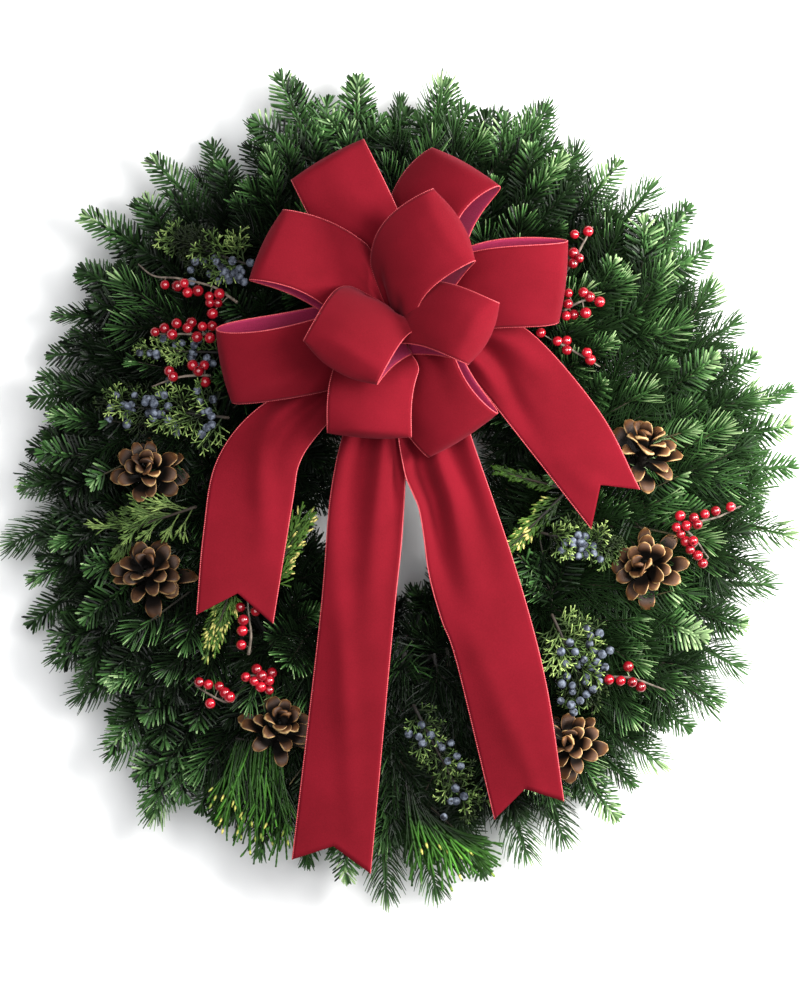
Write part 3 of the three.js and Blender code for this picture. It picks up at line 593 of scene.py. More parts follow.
def make_ribbon(name, node, rows, outward):
    """A ribbon and the stitched thread on its two edges."""
    skin, trim = Skin(), Skin()
    rows = add_ribbon(skin, rows, outward)
    piece = make_piece(name, skin, [VELVET, LINING], "ribbon", node)
    for path in (rows[:, 0], rows[:, -1]):
        path = resample(path, max(int(path_length(path) / 0.8), 8), curved=False)
        add_tube(trim, path, EDGE_R * (1 + 0.22 * np.cos(np.arange(len(path)) * pi)), sides=5)
    edge = make_piece(f"{name}_edge", trim, [THREAD], "ribbon", node)
    length = path_length(rows[:, rows.shape[1] // 2])


def make_bow():
    for _, rng, key in drawn(LOOPS, 99):
        rows, out = loop_sheet(key, rng)
        make_ribbon(f"ribbon_loop_{key}", f"bow_loop_{key}", rows, out)
    for _, rng, (key, shape) in drawn(TAILS.items(), 199):
        make_ribbon(f"ribbon_tail_{key}", f"bow_tail_{key}", tail_sheet(*shape, rng), UP)


def make_knot():
    """The gathered middle of the bow and the wire that holds it to the ring."""
    skin, wire = Skin(), Skin()
    heights = np.linspace(KNOT_LOW, KNOT_HIGH, 20)
    turn = np.linspace(0, 2 * pi, 40, endpoint=False)
    waist = TIE_R * (1 - 0.22 * np.exp(-((heights - 124) / 9) ** 2))
    pleat = 1 + 0.09 * np.cos(turn * 9)
    ring = np.stack([np.cos(turn), np.sin(turn), np.zeros(40)], 1)
    points = (ring[None] * (waist[:, None] * pleat[None])[..., None] * 0.94
              + TIE + UP * heights[:, None, None])
    ends = [TIE + UP * KNOT_LOW, TIE + UP * KNOT_HIGH]
    skin.add(np.vstack([points.reshape(-1, 3), ends]), closed(20, 40))
    make_piece("bow_knot", skin, [VELVET], "ribbon", "bow_tie")
    for side in (-1, 1):
        route = [TIE + [side * 1.2, 0, 108], TIE + [side * 1.4, 0, 60],
                 polar(130, 91, 14) + [side * 0.8, 0, 0], polar(151, 91, 6) + [side * 0.9, 0, 0]]
        add_tube(wire, resample(route, 40), 0.7, sides=8)
    make_piece("bow_wire", wire, [GREEN_WIRE], "wire", "bow_tie")


def make_ring():
    """The wire ring with a folded clamp over each bunch's neck."""
    skin = Skin()
    add_tube(skin, [polar(RING_R, a, WIRE_R) for a in np.linspace(0, 360, 121)], WIRE_R, sides=12)
    leg = NECK_HALF + 4
    bend = [(0, 2.6), (leg - 5, 3), (leg - 1, 6), (leg, NECK_TOP - 2),
            (leg - 3, NECK_TOP + 4), (6, NECK_TOP + 5), (2.0, NECK_TOP + 5.5)]
    for k in range(BUNCHES):
        deg = k * STEP + CLAMP_AT
        for side in (-1, 1):
            route = [polar(RING_R + side * x, deg + 0.25 * side, z) for x, z in bend]
            add_tube(skin, resample(route, 40), WIRE_R * 0.8, sides=8)
        add_ball(skin, polar(RING_R, deg, 3.2), 3.0, rings=6, sides=10)
    make_piece("frame_ring", skin, [GREEN_WIRE], "wire", "wire_ring")


# --- fir
# Needles of each kind: length, width, the gap to the next one along a side of the twig, curl,
# how little comb-like they are, and their ranks: how high they stand over the twig's plane,
# their share of the length, their angle to the twig and their share of the number.
KINDS = {
    "broad": (16.5, 1.95, 2.95, 0.14, 0.4,
              [(3, 1.0, 72, 1.0), (26, 0.8, 60, 0.6), (60, 0.42, 32, 0.6)]),
    "brush": (13.5, 1.5, 2.8, 0.35, 0.9,
              [(4, 1.0, 62, 1.0), (36, 0.86, 52, 0.8), (68, 0.55, 40, 0.8)]),
    "fan": (18.0, 1.35, 2.7, 0.7, 0.55,
            [(2, 1.0, 74, 1.0), (24, 0.8, 62, 0.6), (58, 0.38, 34, 0.6)]),
}
ROSETTE = 8  # short needles round the bud at a twig's tip
BROAD_NEEDLE = ((0.0, 0.6), (0.4, 1.0), (0.88, 0.95), (1.0, 0.4))  # shares of length, width
LONG_NEEDLE = ((0.0, 0.6), (0.4, 1.0), (0.75, 0.9), (1.0, 0.5))
PLAIN_NEEDLE = ((0.0, 0.7), (1.0, 0.6))


def add_needles(skin, root, way, face, pull, length, width, tone, form):
    """Flat blunt needles. face is the normal of a needle's flat side, pull bends its end."""
    side = unit(np.cross(way, face))
    corners = []
    for share, broad in form:
        centre = root + way * (length * share)[:, None] + pull * (length * share**2)[:, None]
        half = side * (width * broad / 2)[:, None]
        ridge = face * (width * broad * 0.42)[:, None]
        corners += [centre - half, centre + half, centre + ridge]
    n, size = len(root), len(corners)
    start = np.arange(n)[:, None, None] * size
    quads = [[s + c, s + (c + 1) % 3, s + 3 + (c + 1) % 3, s + 3 + c]
             for s in range(0, size - 3, 3) for c in range(3)]
    ends = [[size - 3, size - 2, size - 1], [2, 1, 0]]
    skin.add(np.stack(corners, axis=1), [(start + np.array(quads)).reshape(-1, 4),
                                         (start + np.array(ends)).reshape(-1, 3)], 0,
             np.repeat(tone, size), np.tile(np.repeat([share for share, _ in form], 3), n))


def fir_twig(skin, rng, path, kind, tone, keep, plain):
    """Needles all along a twig, from just above its foot to its tip."""
    first = 0.1
    long, broad, gap, curl, wild, ranks = KINDS[kind]
    each = max(int(path_length(path) * (1 - first) / gap), 4)
    rows = []
    for high, size, angle, many in ranks:
        n = 2 * max(int(each * many), 2)
        stray = wild * rng.uniform(-0.45, 0.45, n)
        rows.append((first + (1 - first) * (np.arange(n) + 0.5 + stray) / n, by_turns(n),
                     high + rng.normal(0, 7, n) * wild, size * rng.uniform(0.92, 1.06, n),
                     angle + rng.normal(0, 5, n) * wild))
    t, hand, stand, share, spread = map(np.concatenate, zip(*rows))
    share = share * (1 - 0.34 * smooth(0.78, 1.0, t)) * (
        0.75 + 0.25 * smooth(first, first + 0.15, t))
    spread = spread - 22 * smooth(0.75, 1.0, t)
    t, hand = np.r_[t, np.full(ROSETTE, 0.995)], np.r_[hand, by_turns(ROSETTE)]
    stand = np.radians(np.r_[stand, rng.uniform(-10, 80, ROSETTE)])
    share = np.r_[share, rng.uniform(0.42, 0.58, ROSETTE)]
    spread = np.radians(np.r_[spread, rng.uniform(8, 34, ROSETTE)])
    at = np.linspace(0, 1, len(path))
    root = sampled(t, at, path)
    on, side, up = (unit(sampled(t, at, rows)) for rows in frames_along(path))
    up = np.where(up[:, 2:] < 0, -up, up)
    lateral = unit(side * (hand * np.cos(stand))[:, None] + up * np.sin(stand)[:, None])
    way = unit(on * np.cos(spread)[:, None] + lateral * np.sin(spread)[:, None])
    size = long * share
    face = unit(up - way * np.sum(up * way, axis=1, keepdims=True))
    face = turned(face, way, rng.normal(0, 0.55, len(t)))
    curls = curl * rng.uniform(0.6, 1.4, len(t))[:, None]
    pull = on * curls + up * curls * 0.3
    # painted shade along the twig: darker at its foot, lighter towards its tip, with random tone
    shade = tone - 0.12 + rng.normal(0, 0.3, len(t)) + (0.1 + 0.2 * tone) * smooth(0.0, 0.95, t)
    ok = keep(root, root + (way + pull) * size[:, None])
    if ok.any():
        width = broad * rng.uniform(0.88, 1.08, len(t))
        form = PLAIN_NEEDLE if plain else BROAD_NEEDLE if kind == "broad" else LONG_NEEDLE
        add_needles(skin, root[ok], way[ok], face[ok], pull[ok], size[ok], width[ok],
                    np.clip(shade, 0, 1)[ok], form)


def arc(base, tip, lift):
    """A gently curved path from base to tip, its middle raised by lift."""
    middle = (base + tip) / 2 + UP * lift
    t = np.linspace(0, 1, 9)[:, None]
    return base * (1 - t) ** 2 + 2 * middle * t * (1 - t) + tip * t**2


def fir_spray(skin, rng, base, tip, kind, tone, keep, neck, plain=False):
    """A twig with a pair of side twigs, its needles, and its stem down to the neck where it is
    tied."""
    path = arc(base, tip, rng.uniform(4, 10))
    stem = resample([neck, (neck + base) / 2 - UP * 4, base, path[1]], 9)
    add_tube(skin, stem, (2.0, 1.4), sides=6, slot=2, tone=0.4)
    add_tube(skin, path, (1.4, 0.5), sides=5, slot=1, tone=tone)
    fir_twig(skin, rng, path, kind, tone, keep, plain)
    length = path_length(path)
    on, side, _ = frames_along(path)
    for hand in (-1, 1):
        share = 0.34 + rng.uniform(-0.06, 0.06)
        i = int(share * (len(path) - 1))
        way = unit(on[i] * 0.8 + side[i] * hand * 0.66 + UP * rng.uniform(-0.12, 0.12))
        end = path[i] + (way + on[i] * 0.18) * (length * (1 - share) * rng.uniform(0.55, 0.78))
        end[2] = max(end[2], 7)
        fork = arc(path[i], end, 2)
        add_tube(skin, fork, (0.9, 0.4), sides=4, slot=1, tone=tone)
        fir_twig(skin, rng, fork, kind, tone, keep, plain)


# The sprays that make the outline: the angle and reach of each tip, and its lean from the
# radius. Their heights come by turns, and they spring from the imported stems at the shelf.
OUTLINE = [
    (3, 311, 1), (9, 309, 3), (14, 319, 12), (20, 298, 12), (26, 294, 2), (32, 292, 22), (38, 309, 3),
    (44, 317, -1), (50, 309, 0), (56, 307, -8), (62, 301, 12), (69, 319, -8), (77, 303, -8),
    (84, 319, -6), (90, 308, -5), (96, 322, -8), (105, 331, 12), (112, 309, 6), (119, 311, -16),
    (127, 324, 8), (133, 306, 4), (139, 327, 13), (146, 305, 22), (153, 303, 30), (159, 296, 30),
    (166, 297, 24), (174, 294, 22), (180, 298, 15), (188, 311, 20), (194, 299, 16), (200, 312, 20),
    (206, 302, 8), (213, 303, 6), (222, 307, 14), (228, 306, 20), (233, 324, 22), (241, 301, 28),
    (249, 310, 14), (256, 308, 12), (262, 312, 8), (268, 322, 6), (275, 318, 10), (282, 314, 12),
    (289, 306, -2), (295, 306, -6), (303, 309, 4), (308, 300, 10), (313, 297, 14), (320, 297, 2),
    (326, 299, 4), (332, 302, -1), (338, 292, 6), (345, 301, 16), (353, 308, -8),
]
TIP_HEIGHTS = [36, 70, 26, 56]
SHELF = 192
ALWAYS_BROAD = (96, 105, 127, 139)

# Rows of sprays over the ring: how many, the radius and height of their tips and of their
# roots, and whether they lie underneath, with plain needles.
ROWS = [
    (44, 272, 14, 184, 12, True), (30, 200, 24, 128, 16, True), (42, 273, 52, 190, 40, False),
    (34, 262, 76, 176, 48, False), (30, 232, 90, 150, 50, False), (26, 200, 98, 134, 52, False),
    (20, 168, 100, 128, 46, False), (18, 122, 88, 158, 46, False), (20, 94, 70, 146, 34, False),
    (22, 74, 42, 130, 24, False), (22, 78, 14, 132, 14, True),
]
# How far the outer rows go beyond their usual reach, by the angle, and between which angles the
# inward rows go further from the middle of the hole.
FILL = [(0, -2), (25, 4), (50, 8), (70, 14), (110, 14), (130, 9), (200, 9), (225, 2), (252, 2),
        (270, 10), (285, 8), (300, -8), (345, -11), (360, -2)]
INWARD = ((232, 305, 10), (138, 184, -22), (186, 210, 16))

# Single sprays that lie on top of the rows: their root, tip, kind and tone.
FEATURES = [
    ((120, -100, 70), (107, -34, 92), "broad", 0.42),
    ((-146, -118, 72), (-200, -162, 70), "broad", 0.34), ((206, 4, 68), (266, 30, 66), "fan", 0.66),
    ((212, -34, 66), (276, -62, 56), "fan", 0.6), ((-186, 132, 72), (-244, 168, 60), "broad", 0.4),
    ((-220, -22, 66), (-276, -40, 56), "broad", 0.34),
    ((-216, -98, 64), (-262, -134, 56), "broad", 0.36), ((172, 146, 72), (216, 206, 66), "broad", 0.6),
    ((188, -126, 66), (238, -168, 58), "fan", 0.66), ((64, -196, 66), (92, -256, 60), "brush", 0.5),
    ((-92, -132, 50), (-126, -180, 60), "broad", 0.2),
    ((-108, -136, 40), (-112, -186, 52), "brush", 0.2),
    ((-58, 232, 60), (-92, 318, 52), "broad", 0.46), ((-36, 236, 60), (-33, 315, 52), "broad", 0.48),
    ((26, 240, 58), (37, 312, 50), "broad", 0.52), ((66, 240, 60), (112, 292, 54), "broad", 0.6),
    ((-128, -192, 46), (-155, -248, 40), "broad", 0.36),
    ((-160, -180, 50), (-195, -250, 44), "broad", 0.36),
]


def lean_at(deg):
    """How far the sprays lean from the radius at that angle, from the outline's."""
    angles, _, leans = np.array(OUTLINE, float).T
    return float(np.interp(deg % 360, np.r_[angles - 360, angles, angles + 360],
                           np.tile(leans, 3)))


def species(deg, rng):
    """Which needles and shade a spray has: darker green on the left, fresh and fine on the
    right, the shade rising to the right partly as painted light from the lamps' side."""
    right = 0.5 + 0.5 * cos(radians(deg + 22))
    # the tone rises towards the right: partly the sprays' own colour, partly painted light from the
    # lamps' side
    tone = 0.36 + 0.52 * right + rng.uniform(-0.14, 0.14)
    pick = rng.random()
    if pick < 0.25 + 0.45 * right:
        return "fan", tone
    return ("brush" if pick < 0.72 + 0.2 * right else "broad"), tone


class Clearings:
    """Places that needles keep out of: the ribbons, and the room over cones, sprigs and mixed
    greens."""

    def __init__(self):
        points, faces, start = [], [], 0
        for shell, quads in ribbon_shells:
            points += [Vector(p) for p in shell]
            faces += (quads + start).tolist()
            start += len(shell)
        self.tree = BVHTree.FromPolygons(points, faces)
        self.rounds = []

    def add(self, a, b, radius, under):
        """Nothing stands higher than under below the line from a to b, within radius of it."""
        self.rounds.append((np.array(a, float), np.array(b, float), radius, under))

    def room(self, x, y):
        """The height that a spray's tip keeps under at a place."""
        hit = self.tree.ray_cast(Vector((x, y, 20)), Vector(UP))[0]
        top = 200.0 if hit is None else hit.z - 12
        for a, b, radius, under in self.rounds:
            near = nearest(a, b, np.array([x, y]))
            if hypot(x - near[0], y - near[1]) < radius:
                top = min(top, near[2] - under - 8)
        return top

    def keep(self, root, tip):
        """Which needles stay: those that don't cross a ribbon or cover what is cleared."""
        ok = np.minimum(root[:, 2], tip[:, 2]) > 1.5
        for a, b, radius, under in self.rounds:
            near = nearest(a, b, tip[:, :2])
            flat = np.linalg.norm((tip - near)[:, :2], axis=1)
            ok &= ~((flat < radius) & (tip[:, 2] > near[:, 2] - under))
        for i in np.nonzero(ok & (np.maximum(tip[:, 2], root[:, 2]) > 92))[0]:
            step = tip[i] - root[i]
            hit = self.tree.ray_cast(Vector(root[i]), Vector(step).normalized(),
                                     float(np.linalg.norm(step)) + 1)[0]
            ok[i] = hit is None and self.tree.ray_cast(Vector(tip[i]), Vector(-UP), 40)[0] is None
        return ok


def make_fir(clearings):
    skins = [Skin() for _ in range(BUNCHES)]
    rng = np.random.default_rng(7)

    def lay(deg, base, tip, kind, tone, plain=False):
        """Lays a spray in the bunch at that angle, tied at the bunch's neck."""
        k = int((deg % 360) // STEP)
        neck = polar(RING_R + rng.uniform(-9, 9), k * STEP + 1.5 + rng.uniform(-2, 1),
                     rng.uniform(9, 18))
        fir_spray(skins[k], rng, base, tip, kind, tone, clearings.keep, neck, plain)

    for i, (deg, reach, lean) in enumerate(OUTLINE):
        high = TIP_HEIGHTS[i % len(TIP_HEIGHTS)]
        base_deg = deg - degrees((reach - SHELF) * tan(radians(lean * 0.8)) / SHELF)
        kind, tone = species(deg, rng)
        if i % 3 == 0 or deg in ALWAYS_BROAD:
            kind = "broad"
        lay(base_deg, polar(SHELF, base_deg, 20 + high * 0.25), polar(reach - 6, deg, high * 0.8),
            kind, tone)
    for r, (count, tip_r, tip_z, root_r, root_z, plain) in enumerate(ROWS):
        outward = tip_r > root_r
        for i in range(count):
            deg = 360 * (i + 0.5 * (r % 2) + rng.uniform(-0.3, 0.3)) / count
            lean = lean_at(deg) * 0.6 + rng.uniform(-17, 17)
            swing = degrees(abs(tip_r - root_r) * tan(radians(lean)) / root_r)
            base = polar(root_r + rng.uniform(-6, 6), deg, root_z)
            reach = tip_r + rng.uniform(-9, 9)
            if tip_r > 255:
                reach += float(np.interp(deg % 360, *zip(*FILL)))
            if not outward:
                reach += sum(more for low, high, more in INWARD if low < deg < high)
            tip = polar(reach, deg + (swing if outward else swing + rng.uniform(4, 12)),
                        tip_z + rng.uniform(-14, 9))
            room = clearings.room(tip[0], tip[1])
            if room < base[2] - 14:
                continue
            tip[2] = min(tip[2], room)
            kind, tone = species(deg, rng)
            # painted shade: lower and inward rows darker, and those between the tails darker still, as
            # in the bow's shade
            depth = 0.2 * (1 - tip_z / 100) + (0 if outward else 0.12)
            if 248 < deg < 300 and (not outward or root_r < 160):
                depth += 0.3
                tip[2] = min(tip[2], 44)
            lay(deg, base, tip, kind, max(tone - depth, 0.05), plain)
    for root, tip, kind, tone in FEATURES:
        lay(bearing(root), np.array(root, float), np.array(tip, float), kind, tone)
    for k, skin in enumerate(skins):
        hold_green(f"fir_sprays_{k + 1:02d}", skin, [FIR_NEEDLE, YOUNG_TWIG, OLD_STEM], "fir",
                   f"fir_bunch_{k + 1:02d}", True)


# --- pine cones
# Each cone: the place of its middle, the direction of its tip, the radius and angle of its
# wire's foot, its tone and how much larger than the usual cone it is.
CONES = [
    # the cones on the left have lower tones: partly their own colour, partly painted shade on the side
    # away from the lamps
    ((-196, 12, 88), (0.0, 0.34, 0.94), (178, 176), 0.2, 1.12),
    ((-194, -67, 86), (0.0, 0.4, 0.92), (190, 200), 0.12, 1.2),
    ((-94, -185, 90), (0.3, 0.5, 0.82), (190, 243), 0.3, 1.08),
    ((188, 28, 86), (0.05, 0.6, 0.8), (178, 7), 0.8, 1.18),
    ((190, -62, 86), (-0.2, 0.1, 0.97), (190, 342), 0.65, 1.16),
    ((131, -199, 80), (-0.15, 0.2, 0.97), (190, 303), 0.7, 1.04),
]
CONE_SCALES = 25


def cone_scale(rng, t, turn):
    """One scale: a tongue that widens to a rounded end. along is the shade: dark at the root, where
    painted shade lies between the scales, brown further out and pale on the rim of the end, and the
    inner scales darker as painted shade. The ends lie evenly over a dome."""
    length = 27.5 * (1 - 0.44 * t)
    reach = (CONE_R + 2) * sqrt(max(1 - 0.92 * t, 0)) - 4
    loose = 1 + 1.4 * t
    rise = acos(min(max(reach, 2) / length, 1)) + radians(rng.uniform(-11, 8) * loose)
    length *= rng.uniform(0.88, 1.06)
    width = 10.2 * (1 - 0.22 * t**2) * rng.uniform(0.84, 1.14)
    roll = rng.uniform(-0.34, 0.34) * loose
    sway = rng.uniform(-0.16, 0.16) * loose
    u = np.linspace(0, 1, 14)
    v = np.sin(np.linspace(-1, 1, 11) * pi / 2)[None]
    curve = rise + 0.3 - 0.2 * u - 0.95 * smooth(0.6, 1.0, u) + 0.3 * smooth(0.1, 0.6, u)
    step = length / (len(u) - 1)
    out = np.r_[0, np.cumsum(np.cos(curve[1:]) * step)] + 4
    high = np.r_[0, np.cumsum(np.sin(curve[1:]) * step)] + CONE_H * (0.06 + 0.55 * t)
    end = np.clip(1 - (np.maximum(u - 0.66, 0) / 0.3415) ** 2, 0.0, 1)
    half = (width / 2 * (0.36 + 0.64 * smooth(0.05, 0.72, u)) * np.sqrt(end) + 0.25)[:, None]
    thick = 1.1 + 2.3 * smooth(0.5, 0.8, u) - 1.2 * smooth(0.88, 1.0, u)
    slope = np.stack([-np.sin(curve), np.zeros(len(u)), np.cos(curve)], 1)
    middle = np.stack([out, np.zeros(len(u)), high], 1)
    cup = (0.34 - 0.2 * smooth(0.5, 0.8, u))[:, None] * half * v ** 2
    rim = np.maximum(smooth(0.88, 1.0, np.abs(v)) * smooth(0.45, 0.75, u)[:, None],
                     smooth(0.9, 1.0, u)[:, None])
    # painted shade: the scale darker towards its root and the inner scales darker than the outer ones
    face = (0.02 + 0.58 * smooth(0.46, 0.96, u))[:, None]
    along = (face + (1 - face) * rim) * (1 - 0.35 * smooth(0.85, 1.1, t))
    sheets = []
    for sign in (1, -1):
        grid = middle[:, None] + slope[:, None] * (
            cup + roll * half * v + sign * thick[:, None] / 2 * (1 - 0.7 * v ** 4))[..., None]
        grid[..., 1] += half * v + sway * (out - 4)[:, None]
        sheets.append(grid.reshape(-1, 3))
    points = turned(np.vstack(sheets), UP, turn)
    quads = lattice(*along.shape)
    edge = rim_of(*along.shape)
    after, n = np.roll(edge, -1), along.size
    rim_faces = np.stack([edge, after, after + n, edge + n], axis=1)
    return points, [quads[:, ::-1], quads + n, rim_faces], np.tile(along.ravel(), 2)


def make_cones(clearings):
    for number, rng, (at, tip, foot, shade, grow) in drawn(CONES, 300):
        skin = Skin()
        tip = unit(np.array(tip, float))
        axis = unit(np.cross(UP, tip))
        angle = acos(float(np.dot(UP, tip)))
        base = np.array(at, float) - tip * CONE_H / 2

        def place(points):
            return turned(points, axis, angle) + base

        core = np.array([[0, 0, z] for z in np.linspace(0, CONE_H * 0.66, 8)])
        # the core takes the darkest colour, painted shade deep in the cone
        add_tube(skin, place(core), (6, 2), sides=10, along=0.05)
        for k in range(CONE_SCALES):
            t = 1.1 * (k + 0.5) / CONE_SCALES
            points, faces, along = cone_scale(rng, t, k * GOLDEN + rng.uniform(-0.22, 0.22))
            tone = np.clip(shade + rng.uniform(-0.25, 0.25), 0, 1)
            skin.add(place(points * grow), faces, 0, tone, along)
        foot = polar(*foot, 38)
        add_stem(skin, [base + tip * 3, base * 0.65 + foot * 0.35, foot], 12, 0.9, 6)
        make_piece(f"open_cone_{number}", skin, [CONE_SCALE, GREEN_WIRE], "cone",
                   f"pine_cone_{number}")
        clearings.add(at, at + tip, CONE_R * grow + 4, 6)


# --- red berry sprigs
# Each sprig: its twigs and the place of each berry. The first twig's last point goes down into
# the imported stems.
SPRIGS = [
    ([[(-202.6, 172.7, 97), (-190.6, 163.1, 101), (-170.7, 160.9, 106), (-145.1, 155, 105),
       (-126.8, 143.5, 98)]],
     [(-181.5, 156.1), (-171.7, 155.1), (-166.4, 157), (-163.9, 150.1), (-155.9, 151.4),
      (-147.1, 147.2), (-139.3, 149), (-140.8, 142.2), (-146.7, 142.2), (-144.9, 134)]),
    ([[(-183.7, 118.2, 110), (-169.7, 117.9, 114), (-157.9, 117.7, 112), (-148.3, 117.6, 106)]],
     [(-188.7, 119.4), (-181.6, 122.4), (-175.4, 117.4), (-172, 125.9), (-163.5, 122.4),
      (-160.6, 126.7), (-156.2, 115.4), (-152.4, 123.7), (-146.5, 114.9), (-144.9, 124.2)]),
    ([[(-190.5, 77.3, 104), (-170.5, 84.1, 110), (-158, 85.8, 109), (-147.2, 86.2, 104)]],
     [(-177.8, 89.4), (-174.9, 85.1), (-159.8, 93.9), (-155.3, 89.4), (-150.9, 93.9), (-150.3, 81.2)]),
    ([[(149.6, 201.1, 96), (141.4, 187.8, 104), (130.5, 170, 104)]],
     [(145.1, 197.4), (134.7, 195.1), (138, 176.3), (133.5, 180.6), (133.1, 172.5)]),
    ([[(156.4, 142.5, 100), (141.4, 144.2, 106), (126.6, 136.4, 104)]],
     [(141.3, 150.1), (146.1, 146.8), (154, 143), (129.8, 149.6), (129.3, 141.2), (143, 134.2),
      (134, 133), (128, 132)]),
    ([[(154.4, 92.9, 102), (134.4, 104.6, 108), (118.6, 112.6, 106)]],
     [(108.4, 119), (121.3, 112.4), (128.5, 113), (128.5, 105.5), (143.9, 103.6), (146.7, 98.1)]),
    ([[(263.9, -15, 92), (247.8, -22.3, 96), (237.7, -25.1, 99), (225.8, -27.8, 99), (214, -28.8, 97)],
       [(238.2, -55.4, 94), (226.8, -38.8, 98), (215, -27.8, 98)]],
     [(216.4, -22.3), (213.3, -31.2), (221.2, -29.8), (226.8, -23.7), (229.4, -28.8), (235.4, -20.9),
      (244, -18.5), (255.4, -15.3), (216.8, -36.4), (220.8, -42), (226.2, -41.5), (224.2, -48.4),
      (230.1, -52.9), (234.2, -59)]),
    ([[(206, -157, 86), (194.5, -153, 92), (178.3, -147.5, 98), (161.5, -146.5, 96)]],
     [(161.4, -148.7), (170.4, -149.7), (176.3, -138.6), (179.3, -150.7), (186.2, -154.6)]),
    ([[(-117.7, -87.6, 104), (-115.7, -104.8, 109), (-114.9, -115.8, 109), (-117, -128.5, 104)]],
     [(-123.1, -92.6), (-111.3, -95.7), (-120.8, -102.5), (-121.6, -110.7), (-122.4, -121.7)]),
    ([[(-158.2, -153.9, 98), (-146, -160.7, 106), (-136.6, -165.1, 105), (-129.6, -165.4, 102)]],
     [(-155.1, -150.5), (-148, -152.5), (-139.4, -153.7), (-135.1, -158.6), (-131.5, -161.8),
      (-146.4, -166.9)]),
    ([[(-122.6, -145.4, 106), (-110.6, -145.3, 110), (-98.9, -147.5, 104)]],
     [(-110.5, -140.3), (-118.8, -146.4), (-112.3, -149.5), (-106.7, -145.3), (-98.9, -143.3),
      (-100.9, -149.3), (-107.3, -153.9), (-101, -156.6)]),
]


def make_sprigs(clearings):
    for number, rng, (twigs, berries) in drawn(SPRIGS, 400):
        skin = Skin()
        paths = [resample(points, 24) for points in twigs]
        for path in paths:
            wander = rng.normal(0, 0.25, (24, 3)).cumsum(axis=0) * 0.35
            path += wander - wander[-1:]
            add_tube(skin, path, (0.6, 1.2), sides=7, slot=1)
        last = paths[0][-1]
        foot = stem_foot(last, -4)
        add_stem(skin, [last, last * 0.8 + foot * 0.2 - [0, 0, 14], foot], 12, 1.3)
        every = np.vstack(paths)
        for x, y in berries:
            near = every[np.argmin(np.hypot(every[:, 0] - x, every[:, 1] - y))]
            on_twig = hypot(near[0] - x, near[1] - y) < 4.5
            centre = np.array([x, y, near[2] + (3 if on_twig else 0) + rng.uniform(-1.5, 2.5)])
            middle = (near + centre) / 2 + rng.uniform(-0.6, 0.6, 3)
            add_stem(skin, [near, middle, centre], 6, 0.45, 5)
            add_ball(skin, centre, BERRY_R * rng.uniform(0.92, 1.12), rng.uniform(0, 1),
                     unit(unit(centre - near) + rng.normal(0, 0.5, 3) - UP * 0.5), 11, 18, 0.06)
            clearings.add(centre, centre + [0.1, 0, 0], 5, 2)
        make_piece(f"berry_twig_{number}", skin, [RED_BERRY, BERRY_TWIG], "berry",
                   f"berry_sprig_{number}")
        for path in paths:
            clearings.add(path[0], path[-1], 3.5, 0)


# --- juniper, cedar and pine
# Each juniper spray: its start and end, its width, its tone, and its berries: their places, or
# how many there are. Number 4 is long bare shoots.
JUNIPERS = [
    ((-118, 172, 100), (-172, 190, 92), 25, 0.66, 26),
    ((-138, 104, 96), (-200, 106, 90), 17, 0.66, 16),
    ((-136, 54, 98), (-224, 64, 84), 26, 0.66, 44),
    ((-160, -16, 98), (-214, -34, 86), 18, 0.66, []),
    ((112, -36, 98), (164, -46, 96), 22, 0.66, 20),
    ((118, -100, 100), (146, -160, 94), 28, 0.78, [(144, -109), (147, -115), (154, -113), (124, -127),
     (135, -127), (150, -127), (156, -129), (162, -126), (152, -135), (138, -137), (144, -146),
     (143, -150), (153, -144), (154, -150), (129, -146), (125, -152), (133, -153), (133, -158),
     (149, -156), (144, -160), (132, -168), (134, -174), (124, -165), (128, -136), (146, -121),
     (158, -139), (139, -165), (142, -133), (131, -120), (148, -139)]),
    ((12, -172, 86), (52, -248, 86), 22, 0.46, [(16.5, -184), (6.7, -191), (14.4, -193), (17.6, -198),
     (29.5, -198), (32.7, -202), (39.6, -198), (44, -208), (43, -233), (49.5, -239), (43.5, -243),
     (39.3, -243), (33.9, -255), (24, -192), (37, -212), (47, -216)]),
]
# Each cedar spray's feathers: their start and end, width, tone and share of golden ends.
CEDARS = [
    [((126, -6, 92), (86, -46, 98), 15, 0.42, 0.4), ((122, 0, 88), (78, 12, 88), 9, 0.22, 0)],
    [((-130, -76, 98), (-143, -116, 98), 16, 0.42, 0.4)],
    [((-106, -84, 98), (-80, -36, 98), 20, 0.42, 0.24)],
]
# The pines' long shoots: where they start, along a line, the direction and length of the first
# and of the last, how many there are, their radius, tones and share of golden ends.
PINES = [
    ((-128, -196, 62), (-92, -200, 68), (-0.32, -1, 0.0), (0.06, -1, 0.0), (66, 90), 62, 0.8,
     (0.0, 0.55), 0.4),
    ((4, -232, 60), (26, -258, 64), (0.12, -1, 0.0), (0.82, -0.56, 0.0), (70, 62), 60, 0.9,
     (0.05, 0.5), 0.12),
]
SCALY_R = 0.8
SCALY_APART = 4.2  # from one side shoot of a scaly shoot to the next


def spray_stem(skin, root, on, count, end):
    """A spray's stem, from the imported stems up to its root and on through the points."""
    add_stem(skin, [stem_foot(root), root - UP * 6, root, *on], count, (1.7, end))


